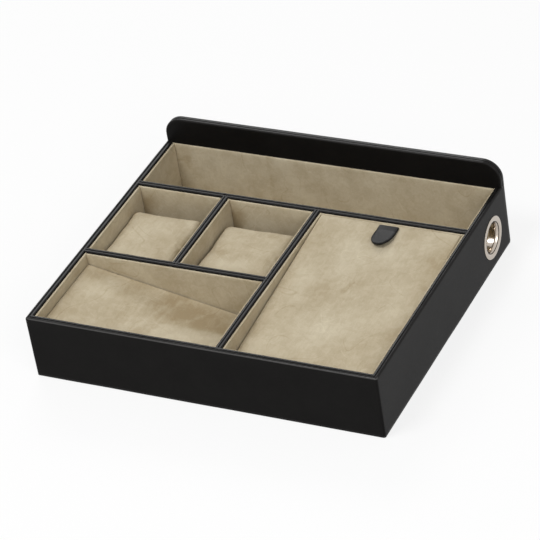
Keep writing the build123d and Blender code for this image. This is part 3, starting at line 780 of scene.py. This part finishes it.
def fill_cushion(piece, cap, seed):
    """Cloth under pressure, gravity off, fills the cushion; no point moves further than cap."""
    scene = bpy.context.scene
    remesh = piece.modifiers.new("weave", "REMESH")
    remesh.mode = "VOXEL"
    remesh.voxel_size = scene.valet_cushions.voxel
    bake_modifiers(piece)
    start = np.empty(len(piece.data.vertices) * 3)
    piece.data.vertices.foreach_get("co", start)
    cloth = piece.modifiers.new("filling", "CLOTH")
    cloth.settings.use_pressure = True
    cloth.settings.uniform_pressure_force = scene.valet_cushions.pressure
    cloth.settings.effector_weights.gravity = 0
    cloth.settings.tension_stiffness = 25
    cloth.settings.bending_stiffness = 4
    cloth.point_cache.frame_end = 20
    for step in range(1, 21):
        scene.frame_set(step)
    bake_modifiers(piece)
    scene.frame_set(1)
    moved = np.empty_like(start)
    piece.data.vertices.foreach_get("co", moved)
    start, moved = start.reshape(-1, 3), moved.reshape(-1, 3)
    travel = moved - start
    length = np.maximum(np.linalg.norm(travel, axis=1, keepdims=True), 1e-9)
    travel *= np.minimum(1, cap / length)
    points = start + travel
    # The foot rests flat on the bay's floor, which the ripple leaves alone.
    low = points[:, 2].min()
    points[:, 2] = np.maximum(points[:, 2], low + 0.25 * MM)
    free = np.clip((points[:, 2] - low) / (12 * MM), 0, 1)
    points[:, 2] += free * 0.22 * MM * ripple(points, 24 * MM, seed)
    piece.data.vertices.foreach_set("co", points.ravel())
    finer = piece.modifiers.new("finer", "SUBSURF")
    finer.levels = finer.render_levels = 1
    bake_modifiers(piece)
    final = np.empty(len(piece.data.vertices) * 3)
    piece.data.vertices.foreach_get("co", final)
    final = final.reshape(-1, 3)
    facing = np.empty(len(piece.data.vertices) * 3, dtype=np.float32)
    piece.data.vertex_normals.foreach_get("vector", facing)
    # Painted shade: the right side, which faces away from the light, is made darker through the nap's tone.
    painted_side_shade = np.clip(facing.reshape(-1, 3)[:, 0], 0, 1)
    nap_and_shade = 0.5 * ripple(final, 34 * MM, seed + 1) + 0.4 * ripple(final, 13 * MM, seed + 2)
    nap_and_shade = nap_and_shade + 0.25 - 4.0 * painted_side_shade
    attribute = piece.data.attributes.new("nap_and_shade", "FLOAT", "POINT")
    attribute.data.foreach_set("value", nap_and_shade.astype(np.float32))
    piece.data.shade_smooth()


def bake_modifiers(piece):
    """The piece's modifiers become its mesh."""
    graph = bpy.context.evaluated_depsgraph_get()
    graph.update()
    evaluated = piece.evaluated_get(graph)
    mesh = bpy.data.meshes.new_from_object(evaluated)
    piece.modifiers.clear()
    old = piece.data
    piece.data = mesh
    bpy.data.meshes.remove(old)


# ---------------------------------------------------------------- lid, tab and grommet

def lid_axes():
    """The lid's top front edge, its direction up the slope, upward normal and length."""
    hinge = np.array(JOINTS["lid_hinge"]["pos_m"])
    high = node_box("lid_cover")[1]
    run = high[1] - hinge[1]
    slope = math.atan2(high[2] - hinge[2], run)
    up_slope = np.array([0.0, math.cos(slope), math.sin(slope)])
    normal = np.array([0.0, -math.sin(slope), math.cos(slope)])
    return hinge, up_slope, normal, run / math.cos(slope)


def tongue(name, path, normals, half_widths, thickness, material):
    """A flat leather tongue, closed.

    Formula: along the path, a cross-section of half-width w and half-height h whose outline is a
    superellipse, so its top and bottom are flat and its edges round; both ends close to a point."""
    phi = np.linspace(0, 2 * math.pi, 40, endpoint=False)[None, :]
    cos, sin = np.cos(phi), np.sin(phi)
    across = np.sign(cos) * np.abs(cos) ** 0.30
    upward = np.sign(sin) * np.abs(sin) ** 0.75
    points = (path[:, None, :] + (half_widths[:, None] * across)[..., None] * np.array([1.0, 0, 0])
              + (thickness[:, None] / 2 * upward)[..., None] * normals[:, None, :])
    ends = [np.repeat(path[:1, None, :], phi.shape[1], axis=1),
            np.repeat(path[-1:, None, :], phi.shape[1], axis=1)]
    points = np.concatenate([ends[0], points, ends[1]])
    faces = grid_faces(len(points), points.shape[1], wrap_columns=True)
    edge = np.broadcast_to(np.abs(across) ** 6 * 0.8, points.shape[:2])
    return make_piece(name, points, faces, material, {"edge": edge}, sharp=70)


def bead_string(name, centres, directions, normals, length, radius, material):
    """Short round stitches, each an ellipsoid of length and radius sunk at both ends.

    Formula: cos a along the stitch, sin a times a circle across it, for every centre at once."""
    a = np.linspace(0, math.pi, 7)
    b = np.linspace(0, 2 * math.pi, 8, endpoint=False)
    grid_a, grid_b = np.meshgrid(a, b, indexing="ij")
    sides = np.cross(directions, normals)
    along = np.cos(grid_a)[None, ..., None] * directions[:, None, None, :] * length / 2
    around = (np.cos(grid_b)[None, ..., None] * sides[:, None, None, :]
              + np.sin(grid_b)[None, ..., None] * normals[:, None, None, :])
    points = centres[:, None, None, :] + along + radius * np.sin(grid_a)[None, ..., None] * around
    one = grid_faces(len(a), len(b), wrap_columns=True)
    faces = np.concatenate([one + i * len(a) * len(b) for i in range(len(centres))])
    return make_piece(name, points, faces, material, sharp=80)


def turned_ring(name, profile, centre, material, sides=96):
    """A ring turned about X: a closed section of (radius, distance out of the wall)."""
    angle = np.linspace(0, 2 * math.pi, sides, endpoint=False)[:, None]
    radius, out = profile[None, :, 0], profile[None, :, 1]
    points = np.stack([
        centre[0] + out + 0 * angle, centre[1] + radius * np.cos(angle),
        centre[2] + radius * np.sin(angle)], axis=-1)
    faces = grid_faces(sides, profile.shape[0], wrap_rows=True, wrap_columns=True)
    return make_piece(name, points, faces, material, sharp=50)


# ---------------------------------------------------------------- sizes taken from the frame

RIM_HIGH = node_box("outer_wrap")[1]
BAY_RIGHT = node_box("rear_bay_liner_right")
SIZES = {
    "wall": RIM_HIGH[0] - BAY_RIGHT[1][0],
    "panel_front": RIM_HIGH[1],
    "rim": RIM_HIGH[2],
    "card_below_rim": 1.6 * MM,
    "fold_round": 1.1 * MM,
    "wall_round": 1.6 * MM,
    "inner_drop": 14 * MM,
    "section_step": 2.2 * MM,
    "panel_corner": 16 * MM,
    "lid_thick": 4.0 * MM,
    "ramp_thick": 1.8 * MM,
    "tab_thick": 2.0 * MM,
    "leather_hole": 13.2 * MM,
    "suede_hole": 13.0 * MM,
    # The side leather laps over the ends of the back panel, nearly to its rear edge.
    "panel_lap": 4.9 * MM,
}
GROMMET_LOW, GROMMET_HIGH = node_box("grommet")
GROMMET_CENTRE = ((GROMMET_LOW + GROMMET_HIGH) / 2)[1:]


# ---------------------------------------------------------------- settings

class ValetLook(bpy.types.PropertyGroup):
    """Colours and fine sizes of the finishes."""

    suede_pale: FloatVectorProperty(
        name="Suede, pale", description="Nap that lies towards the light", subtype="COLOR", size=4,
        min=0, max=1, default=linear("#D1C7AF"))
    suede_deep: FloatVectorProperty(
        name="Suede, deep", description="Nap that lies away from the light", subtype="COLOR",
        size=4,
        min=0, max=1, default=linear("#A19072"))
    nap_shade: FloatProperty(
        name="Nap shade", description="How much the brushed nap changes the colour", default=0.10,
        min=0, max=1, subtype="FACTOR")
    leather_deep: FloatVectorProperty(
        name="Leather, deep", description="Dye in the grain", subtype="COLOR", size=4,
        min=0, max=1, default=linear("#0C0B0B"))
    leather_pale: FloatVectorProperty(
        name="Leather, pale", description="Dye on the grain and at worn edges", subtype="COLOR",
        size=4,
        min=0, max=1, default=linear("#1C1B1A"))
    # Colour of a painted highlight: the thin bright line along the front fold.
    fold_highlight_paint: FloatVectorProperty(
        name="Leather, front fold", description="Stands for the bright line a lamp draws there",
        subtype="COLOR", size=4, min=0, max=1, default=linear("#504F4E"))
    leather_roughness: FloatProperty(
        name="Leather roughness", description="Mean roughness of the flat leather", default=0.36,
        min=0, max=1, subtype="FACTOR")
    leather_gloss: FloatProperty(
        name="Leather gloss", description="Specular level of the flat leather", default=0.045,
        min=0, max=1, subtype="FACTOR")
    edge_roughness: FloatProperty(
        name="Edge roughness", description="Mean roughness of the burnished edges", default=0.30,
        min=0, max=1, subtype="FACTOR")
    edge_gloss: FloatProperty(
        name="Edge gloss", description="Specular level of the burnished edges", default=0.10,
        min=0, max=1, subtype="FACTOR")
    leather_thickness: FloatProperty(
        name="Leather thickness", description="Thickness of the leather skin", default=0.8 * MM,
        min=0.1 * MM, unit="LENGTH", subtype="DISTANCE")
    leather_unevenness: FloatProperty(
        name="Leather unevenness", description="How far the glued leather rises and falls",
        default=0.04 * MM, min=0, unit="LENGTH", subtype="DISTANCE")
    nickel_pale: FloatVectorProperty(
        name="Nickel, pale", description="Buffed nickel", subtype="COLOR", size=4,
        min=0, max=1, default=linear("#C4BBB1"))
    nickel_deep: FloatVectorProperty(
        name="Nickel, deep", description="Nickel with a faint haze", subtype="COLOR", size=4,
        min=0, max=1, default=linear("#B2A79A"))


class ValetCushions(bpy.types.PropertyGroup):
    """How the watch cushions are filled."""

    voxel: FloatProperty(
        name="Mesh size", description="Spacing of the cushion's mesh before it is filled",
        default=1.7 * MM, min=1 * MM, unit="LENGTH", subtype="DISTANCE")
    pressure: FloatProperty(
        name="Filling", description="Pressure inside the cushion while it is filled", default=4.0,
        min=0)


class ValetStage(bpy.types.PropertyGroup):
    """Light and camera."""

    lens: FloatProperty(
        name="Lens", description="Focal length on a 36 mm frame", default=209.0, min=20,
        unit="CAMERA")
    floor_colour: FloatVectorProperty(
        name="Floor", description="Colour of the floor", subtype="COLOR", size=4, min=0, max=1,
        default=linear("#F9F9F9"))
    key_power: FloatProperty(
        name="Key light", description="Power of the lamp high above the front left", default=27.0,
        min=0, unit="POWER")
    fill: FloatProperty(
        name="Room light", description="Strength of the light from all round", default=0.28, min=0)
    back_power: FloatProperty(
        name="Back lamp", description="Power of the wide lamp behind, which the rims reflect",
        default=17.0, min=0, unit="POWER")
    side_power: FloatProperty(
        name="Side lamp", description="Power of the wide lamp at the front right", default=18.0,
        min=0, unit="POWER")


# ---------------------------------------------------------------- operators

class VALET_OT_case_leather(bpy.types.Operator):
    """Leather over the walls, the back panel and the dividers"""

    bl_idname = "valet.case_leather"
    bl_label = "Case leather"

    def execute(self, context):
        leather = "black_leather"
        walls = walls_leather("case_leather", "outer_wrap", GROMMET_CENTRE, SIZES["leather_hole"])
        settle(walls, "case", leather, "outer_wrap")
        panel = panel_leather("panel_leather", "back_wrap")
        settle(panel, "case", leather, "back_wrap", "back_facing")
        for divider, axis in (("rear", 0), ("tray", 0), ("lid", 1), ("watch", 1)):
            node = divider + "_divider_wrap"
            piece = divider_leather(divider + "_divider_leather", node, axis)
            settle(piece, "case", leather, node)
        return {"FINISHED"}


class VALET_OT_liners(bpy.types.Operator):
    """Suede cards on the walls and floors of the five compartments"""

    bl_idname = "valet.liners"
    bl_label = "Suede liners"

    def execute(self, context):
        suede = "tan_suede"
        seed = 100
        facing = {"left": "+x", "right": "-x", "front": "+y", "rear": "-y"}
        for bay in ("tray", "lid_bay", "rear_bay", "watch_left", "watch_right"):
            for side, inward in facing.items():
                node = f"{bay}_liner_{side}"
                seed += 10
                if node == "rear_bay_liner_right":
                    piece = holed_card(node, GROMMET_CENTRE, SIZES["suede_hole"], seed)
                elif node == "rear_bay_liner_rear":
                    low = node_box(node)[0][0]
                    seams = [(x * MM - low, 0.7 * MM, 0.25 * MM, tone) for x, tone in (
                        (-131, 0.9), (-57, -0.5), (-8, 0.6), (64, -0.7), (128, 0.5))]
                    piece = liner_card(node, inward, seed, seams=seams)
                elif node in ("watch_left_liner_rear", "watch_right_liner_rear"):
                    piece = liner_card(node, inward, seed, strokes=self.corner_shade(node))
                else:
                    piece = liner_card(node, inward, seed)
                settle(piece, "case", suede, node)
            node = bay + "_floor"
            seed += 10
            settle(liner_card(node, "+z", seed), "case", suede, node)
        return {"FINISHED"}

    def corner_shade(self, node):
        """Painted shadow in a watch bay's rear left corner: the nap's tone made dark, wider towards the cushion.
        """
        low, high = node_box(node)
        y = (low[1] + high[1]) / 2
        return (
            ((low[0] + 2 * MM, y, 0.040), (low[0] + 5 * MM, y, 0.047), 6 * MM, -2.2, 3),
            ((low[0] + 3 * MM, y, 0.030), (low[0] + 8 * MM, y, 0.040), 7 * MM, -2.4, 3),
        )


class VALET_OT_ramp(bpy.types.Operator):
    """The sloping suede floor of the tray"""

    bl_idname = "valet.ramp"
    bl_label = "Tray ramp"

    def execute(self, context):
        low, high = node_box("tray_ramp")
        # The suede is cut smaller than its CAD node, so that its joint with the walls reads dark.
        low[:2] += 0.6 * MM, 0.3 * MM
        high[:2] -= 0.4 * MM, 0.9 * MM
        thickness = SIZES["ramp_thick"]
        fall = math.atan2(high[2] - low[2] - thickness, high[0] - low[0])
        along = np.array([math.cos(fall), 0, -math.sin(fall)])
        across = np.array([0.0, 1.0, 0.0])
        up = np.cross(along, across)
        corner = np.array([low[0], low[1], high[2]]) - up * thickness / 2
        length = (high[0] - low[0]) / math.cos(fall)

        def at(x, y):
            """A point of the ramp's middle surface over a place in plan, in millimetres."""
            return (corner + along * ((x * MM - low[0]) / math.cos(fall))
                    + across * (y * MM - low[1]))

        # Dark smears along the rear wall and over the middle are painted shade; the pale patch at the front right
        # is painted light; the thin pale lines are creases in the nap.
        strokes = (
            (at(-140, -80), at(10, -80), 120 * MM, -1.0, 2),
            (at(-60, -60), at(0, -57), 16 * MM, -3.0, 3),
            (at(-34, -62), at(8, -70), 10 * MM, -1.4, 2),
            (at(-95, -50), at(-60, -48), 12 * MM, -1.2, 2),
            (at(-46, -94), at(8, -85), 20 * MM, 3.2, 16),
            (at(-120, -60), at(-110, -115), 14 * MM, 0.6, 2),
            (at(-86, -92), at(-84, -56), 1.6 * MM, 1.7, 2),
            (at(-79, -96), at(-68, -58), 1.5 * MM, 1.5, 2),
            (at(-66, -80), at(-59, -47), 1.5 * MM, 1.5, 2),
            (at(-50, -75), at(-34, -52), 1.6 * MM, 1.7, 2),
            (at(-70, -88), at(-46, -66), 1.3 * MM, 1.3, 2),
        )
        piece = suede_card("tray_ramp_suede", corner, along, across, thickness, 0.5 * MM, 1.0 * MM,
                           (length, high[1] - low[1]), 500, swell=-0.35 * MM, strokes=strokes)
        settle(piece, "case", "tan_suede", "tray_ramp")
        return {"FINISHED"}


class VALET_OT_cushions(bpy.types.Operator):
    """The two watch cushions, filled as cloth under pressure"""

    bl_idname = "valet.cushions"
    bl_label = "Watch cushions"

    def execute(self, context):
        moves = {"left": (-0.4 * MM, -1.6 * MM), "right": (-0.2 * MM, -0.4 * MM)}
        for side, seed in (("left", 600), ("right", 640)):
            node = "watch_cushion_" + side
            piece = cushion_form(node + "_suede", node, moves[side], 0.4 * MM)
            fill_cushion(piece, 0.9 * MM, seed)
            settle(piece, node, "tan_suede", node)
        return {"FINISHED"}


class VALET_OT_lid(bpy.types.Operator):
    """The suede lid and the suede strip that hinges it"""

    bl_idname = "valet.lid"
    bl_label = "Lid and hinge"

    def execute(self, context):
        hinge, up_slope, normal, length = lid_axes()
        low, high = node_box("lid_cover")
        thickness = SIZES["lid_thick"]
        low[0] -= 0.3 * MM
        corner = np.array([low[0], hinge[1], hinge[2]]) - normal * thickness / 2

        def at(x, s):
            """A point of the lid's middle surface, x across and s up the slope, in millimetres."""
            return corner + np.array([x * MM - low[0], 0, 0]) + up_slope * s * MM

        left, right, top = low[0] / MM, high[0] / MM, length / MM
        strokes = (
            (at(left + 3, 10), at(left + 3, top - 10), 7 * MM, -1.2, 2),
            (at(right - 3, 10), at(right - 3, top - 10), 9 * MM, -1.4, 2),
            (at(left + 30, 40), at(right - 20, 90), 22 * MM, 0.7, 2),
            (at(left + 20, 120), at(right - 40, 150), 18 * MM, 0.6, 2),
        )
        lid = suede_card("lid_suede", corner, (1, 0, 0), up_slope, thickness, 1.1 * MM, 2.2 * MM,
                         (high[0] - low[0], length), 700, swell=0.3 * MM, strokes=strokes)
        settle(lid, "lid", "tan_suede", "lid_cover", "lid_lining")
        settle(self.hinge_strip(hinge, up_slope, normal), None, "tan_suede", "lid_hinge_strip")
        return {"FINISHED"}

    def hinge_strip(self, hinge, up_slope, normal):
        """The suede strip: a thin closed section of a path up the liner and onto the lid, along X.

        Formula: the path and its copy half a thickness to each side, tapered to nought at
        both ends."""
        low, high = node_box("lid_hinge_strip")
        lap = 4.0 * MM
        rise = np.linspace(low[2], hinge[2] - 0.6 * MM, 14)
        upright = np.stack([np.full_like(rise, (low[1] + high[1]) / 2), rise], axis=-1)
        onto = ((hinge + 0.05 * MM * normal)[None, :]
                + np.linspace(0.5 * MM, lap, 8)[:, None] * up_slope)
        path = np.concatenate([upright, onto[:, 1:]])
        step = np.gradient(path, axis=0)
        step /= np.linalg.norm(step, axis=1, keepdims=True)
        sideways = np.stack([-step[:, 1], step[:, 0]], axis=-1)
        half = (high[1] - low[1]) / 2 * np.sin(np.linspace(0, math.pi, len(path))) ** 0.35
        ring = np.concatenate([path + half[:, None] * sideways,
                               (path - half[:, None] * sideways)[::-1]])
        x = spaced(high[0] - low[0], 0.3 * MM, 2.5 * MM, bends=2) + low[0]
        points = np.zeros((len(x), len(ring), 3))
        points[..., 0] = x[:, None]
        points[..., 1:] = ring[None]
        end_low, end_high = points[:1].copy(), points[-1:].copy()
        for end in (end_low, end_high):
            half_count = len(path)
            middle = (end[0, :half_count] + end[0, :half_count - 1 - len(ring):-1]) / 2
            end[0, :half_count] = middle
            end[0, half_count:] = middle[::-1]
        points = np.concatenate([end_low, points, end_high])
        faces = grid_faces(len(points), len(ring), wrap_columns=True)
        nap_and_shade = 0.5 * ripple(points, 30 * MM, 760)
        strip = make_piece("lid_hinge_suede", points, faces, finish_for("tan_suede"), {"nap_and_shade": nap_and_shade},
                           sharp=60)
        end = hinge + np.array([0, 0.7 * MM, 0.2 * MM])
        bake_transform(strip)
        return strip


class VALET_OT_tab(bpy.types.Operator):
    """The leather pull tab on the lid, with its stitched end"""

    bl_idname = "valet.tab"
    bl_label = "Pull tab"

    def execute(self, context):
        hinge, up_slope, normal = lid_axes()[:3]
        tab_low, tab_high = node_box("pull_tab")
        joint = np.array(JOINTS["tab_lift"]["pos_m"])
        centre_x = (tab_low[0] + tab_high[0]) / 2 + 0.8 * MM
        half = (tab_high[0] - tab_low[0]) / 2 + 0.6 * MM
        thick = SIZES["tab_thick"]
        bend_at = (joint - hinge) @ up_slope
        root_end = bend_at + 6.2 * MM
        free = 20.6 * MM
        rise = 5.0 * MM
        # Distance along the tab from the stitched end, and its height above the lid.
        s = np.concatenate([spaced(root_end - bend_at, 1.2 * MM, 0.8 * MM, 5),
                            root_end - bend_at + spaced(free, 9.0 * MM, 0.8 * MM, 12)[1:]])
        total = s[-1]
        past = np.clip((s - (root_end - bend_at)) / free, 0, 1)
        height = thick / 2 + (rise - thick / 2 - 0.2 * MM) * past ** 1.1
        base = hinge + np.array([centre_x - hinge[0], 0, 0])
        path = base + (root_end - s)[:, None] * up_slope + height[:, None] * normal
        step = np.gradient(path, axis=0)
        step /= np.linalg.norm(step, axis=1, keepdims=True)
        normals = np.cross(np.array([1.0, 0, 0]), step)
        normals *= np.sign(normals @ normal)[:, None]
        from_tip = total - s
        near_tip = np.clip(from_tip / (13.8 * MM), 0, 1)
        widths = half * np.sqrt(1 - (1 - near_tip) ** 2)
        near_root = np.clip(s / (1.4 * MM), 0, 1)
        widths = widths - 1.2 * MM * (1 - np.sqrt(1 - (1 - near_root) ** 2))
        depth = thick * rounding(np.minimum(s, from_tip), 0.9 * MM)
        depth[0] = 0.12 * thick
        leather = finish_for("burnished_edge")
        tab = tongue("pull_tab_leather", path, normals, widths, depth, leather)
        stitches = self.stitches(path, normals, widths, depth, s)
        for piece, nodes in ((tab, ("pull_tab_root", "pull_tab")), (stitches, ())):
            settle(piece, None, "black_leather", *nodes)
            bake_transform(piece)
        return {"FINISHED"}

    def stitches(self, path, normals, widths, depth, s):
        """A row of stitches along both sides and round the free end, 1.1 mm inside the edge."""
        margin, pitch = 1.1 * MM, 1.7 * MM
        reach = s[-1] - margin
        inner = np.linspace(margin, reach, 400)
        wide = np.maximum(np.interp(inner + margin * (inner / s[-1]), s, widths) - margin, 0)
        centre = np.stack([np.interp(inner, s, path[:, i]) for i in range(3)], axis=-1)
        lift = np.stack([np.interp(inner, s, normals[:, i]) for i in range(3)], axis=-1)
        tall = np.interp(inner, s, depth) / 2
        right = centre + wide[:, None] * np.array([1.0, 0, 0]) + (tall[:, None] - 0.05 * MM) * lift
        left = centre - wide[:, None] * np.array([1.0, 0, 0]) + (tall[:, None] - 0.05 * MM) * lift
        line = np.concatenate([right, left[::-1]])
        lifts = np.concatenate([lift, lift[::-1]])
        run = np.concatenate([[0], np.cumsum(np.linalg.norm(np.diff(line, axis=0), axis=1))])
        marks = np.arange(pitch / 2, run[-1], pitch)
        centres = np.stack([np.interp(marks, run, line[:, i]) for i in range(3)], axis=-1)
        ahead = np.stack([np.interp(marks + 0.3 * MM, run, line[:, i]) for i in range(3)], axis=-1)
        behind = np.stack([np.interp(marks - 0.3 * MM, run, line[:, i]) for i in range(3)], axis=-1)
        lifts = np.stack([np.interp(marks, run, lifts[:, i]) for i in range(3)], axis=-1)
        lifts /= np.linalg.norm(lifts, axis=1, keepdims=True)
        directions = ahead - behind
        directions -= (directions * lifts).sum(axis=1, keepdims=True) * lifts
        directions /= np.linalg.norm(directions, axis=1, keepdims=True)
        return bead_string("pull_tab_stitches", centres, directions, lifts, 1.25 * MM, 0.2 * MM,
                           finish_for("thread"))


class VALET_OT_grommet(bpy.types.Operator):
    """The nickel cable grommet"""

    bl_idname = "valet.grommet"
    bl_label = "Cable grommet"

    def execute(self, context):
        wall_x = RIM_HIGH[0]
        depth = wall_x - GROMMET_LOW[0]
        # The flange lies nearly flush, well inside the CAD one.
        proud = 0.35 * (GROMMET_HIGH[0] - wall_x)
        centre = np.array([wall_x, *GROMMET_CENTRE])
        flange = (GROMMET_HIGH[1] - GROMMET_LOW[1]) / 2
        bore, sleeve = 12.0 * MM, 12.8 * MM
        crest, mouth_depth = 15.4 * MM, 4.0 * MM
        turn = np.linspace(0, math.pi / 2, 12)
        # Up the bore, round the flared mouth to the crest, down the dome, over the lip, back under.
        bore_line = np.stack([np.full(8, bore), np.linspace(-depth, -mouth_depth, 8)], axis=-1)
        mouth = np.stack([crest - (crest - bore) * np.cos(turn),
                          -mouth_depth + (proud + mouth_depth) * np.sin(turn)], axis=-1)
        dome = np.stack([crest + (flange - 0.25 * MM - crest) * np.sin(turn),
                         0.3 * MM + (proud - 0.3 * MM) * np.cos(turn)], axis=-1)
        lip_turn = np.linspace(math.pi / 2, -math.pi / 2, 7)[1:-1]
        lip = np.stack([flange - 0.2 * MM + 0.2 * MM * np.cos(lip_turn),
                        0.16 * MM + 0.14 * MM * np.sin(lip_turn)], axis=-1)
        under = np.stack([np.linspace(flange - 0.3 * MM, 15.0 * MM, 5), np.full(5, 0.02 * MM)],
                         axis=-1)
        outside = np.stack([np.full(8, sleeve), np.linspace(-mouth_depth + 0.6 * MM, -depth, 8)],
                           axis=-1)
        profile = np.concatenate([bore_line, mouth[1:], dome[1:], lip, under, outside])
        ring = turned_ring("grommet_nickel", profile, centre, finish_for("bright_nickel"))
        settle(ring, "case", "bright_nickel", "grommet")
        return {"FINISHED"}


class VALET_OT_carried_over(bpy.types.Operator):
    """Finishes for the boards, ledges, ribs, felt and ring that keep their CAD shape"""

    bl_idname = "valet.carried_over"
    bl_label = "Boards and small parts"

    def execute(self, context):
        for part in frame["record"]["subparts"]:
            shape = frame["nodes"][part["node"]]
            material = finish_for(part["material_slot"])
            shape.data.materials.clear()
            shape.data.materials.append(material)
        return {"FINISHED"}


class VALET_OT_stage(bpy.types.Operator):
    """Floor, soft lamps, room light and camera"""

    bl_idname = "valet.stage"
    bl_label = "Stage"

    def execute(self, context):
        self.floor(context.scene.valet_stage)
        self.lamps(context.scene.valet_stage)
        self.room(context.scene.valet_stage)
        self.camera(context.scene.valet_stage)
        context.scene.view_settings.view_transform = "Standard"
        return {"FINISHED"}

    def floor(self, stage):
        """A pale floor, a flat grid: seen or mirrored mostly white, with the object's shadow."""
        reach = np.linspace(-4.0, 4.0, 41)
        x, y = np.meshgrid(reach, reach, indexing="ij")
        points = np.stack([x, y, 0 * x], axis=-1)
        material = bpy.data.materials.new("painted_floor_matt")
        material.use_nodes = True
        tree = material.node_tree
        tree.nodes.clear()
        matt = add(tree, "BsdfDiffuse", {"Color": stage.floor_colour})
        white = add(tree, "Emission", {"Color": (1, 1, 1, 1), "Strength": 1.0})
        path = add(tree, "LightPath")
        seen = add(tree, "Math",
                   {0: path.outputs["Is Camera Ray"], 1: path.outputs["Is Glossy Ray"]},
                   operation="MAXIMUM")
        seen = add(tree, "Math", {0: seen.outputs[0], 1: path.outputs["Is Transmission Ray"]},
                   operation="MAXIMUM")
        share = add(tree, "Math", {0: seen.outputs[0], 1: 0.82}, operation="MULTIPLY")
        mixed = add(tree, "MixShader",
                    {0: share.outputs[0], 1: matt.outputs[0], 2: white.outputs[0]})
        add(tree, "OutputMaterial", {"Surface": mixed.outputs[0]})
        floor = make_piece("floor", points, grid_faces(41, 41), material, closed=False)
        if floor.data.polygons[0].normal.z < 0:
            floor.data.flip_normals()

    def lamps(self, stage):
        """Area lamps aimed at the middle of the valet: (name, place, width, height, power)."""
        lamps = (
            ("key", (-0.58, -0.95, 2.20), 0.8, 0.8, stage.key_power),
            ("back", (-1.17, 1.75, 1.55), 1.5, 0.8, stage.back_power),
            ("side", (1.45, -1.25, 1.35), 1.4, 1.4, stage.side_power),
        )
        for name, place, width, height, power in lamps:
            data = bpy.data.lights.new(name, "AREA")
            data.shape = "RECTANGLE"
            data.size, data.size_y = width, height
            data.energy = power
            lamp = bpy.data.objects.new(name, data)
            lamp.matrix_world = aimed(Vector(place), Vector((0, 0, 0.03)))
            bpy.context.scene.collection.objects.link(lamp)

    def room(self, stage):
        """Light from all round: white where it is seen or mirrored, softer on the object."""
        world = bpy.data.worlds.new("room")
        bpy.context.scene.world = world
        world.use_nodes = True
        tree = world.node_tree
        tree.nodes.clear()
        path = add(tree, "LightPath")
        seen = add(tree, "Math",
                   {0: path.outputs["Is Camera Ray"], 1: path.outputs["Is Glossy Ray"]},
                   operation="MAXIMUM")
        seen = add(tree, "Math", {0: seen.outputs[0], 1: path.outputs["Is Transmission Ray"]},
                   operation="MAXIMUM")
        strength = add(tree, "MapRange",
                       {"Value": seen.outputs[0], "To Min": stage.fill, "To Max": 1.0})
        light = add(tree, "Background", {"Color": (1, 1, 1, 1), "Strength": strength.outputs[0]})
        add(tree, "OutputWorld", {"Surface": light.outputs[0]})

    def camera(self, stage):
        """The photograph's camera: place, heading, height angle and roll."""
        heading, height, roll = (math.radians(a) for a in (30.588, 35.383, 9.776))
        place = Vector((1.04406, -1.76740, 1.49590))
        forward = Vector((-math.sin(heading) * math.cos(height),
                          math.cos(heading) * math.cos(height),
                          -math.sin(height)))
        level = forward.cross(Vector((0, 0, 1))).normalized()
        down = forward.cross(level).normalized()
        right = math.cos(roll) * level + math.sin(roll) * down
        back = -forward
        up = back.cross(right)
        data = bpy.data.cameras.new("camera")
        data.lens, data.sensor_width = stage.lens, 36.0
        data.clip_start, data.clip_end = 0.1, 50.0
        camera = bpy.data.objects.new("camera", data)
        camera.matrix_world = (Matrix.Translation(place)
                               @ Matrix((right, up, back)).transposed().to_4x4())
        bpy.context.scene.collection.objects.link(camera)
        bpy.context.scene.camera = camera


def aimed(place, target):
    """The placement of a lamp at place that shines at target."""
    turn = (place - target).to_track_quat("Z", "Y")
    return Matrix.Translation(place) @ turn.to_matrix().to_4x4()


OPERATORS = (
    VALET_OT_carried_over,
    VALET_OT_case_leather,
    VALET_OT_liners,
    VALET_OT_ramp,
    VALET_OT_cushions,
    VALET_OT_lid,
    VALET_OT_tab,
    VALET_OT_grommet,
    VALET_OT_stage,
)


class VALET_PT_panel(bpy.types.Panel):
    """Sidebar list of the valet's pieces and settings"""

    bl_idname = "VALET_PT_panel"
    bl_label = "Desk valet"
    bl_space_type = "VIEW_3D"
    bl_region_type = "UI"
    bl_category = "Valet"

    def draw(self, context):
        for operator in OPERATORS:
            self.layout.operator(operator.bl_idname)
        for group in GROUPS:
            settings = getattr(context.scene, group)
            for key in settings.__annotations__:
                self.layout.prop(settings, key)


GROUPS = {"valet_look": ValetLook, "valet_cushions": ValetCushions, "valet_stage": ValetStage}


def register():
    """Adds the classes and the scene's settings."""
    for group in GROUPS.values():
        bpy.utils.register_class(group)
    for operator in OPERATORS:
        bpy.utils.register_class(operator)
    bpy.utils.register_class(VALET_PT_panel)
    for name, group in GROUPS.items():
        setattr(bpy.types.Scene, name, PointerProperty(type=group))


def unregister():
    """Takes them away again."""
    for name in GROUPS:
        delattr(bpy.types.Scene, name)
    for cls in (VALET_PT_panel, *reversed(OPERATORS), *reversed(GROUPS.values())):
        bpy.utils.unregister_class(cls)


def main():
    """Dresses the frame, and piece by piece."""
    register()
    for operator in OPERATORS:
        family, name = operator.bl_idname.split(".")
        getattr(getattr(bpy.ops, family), name)()


if __name__ == "__main__":
    main()
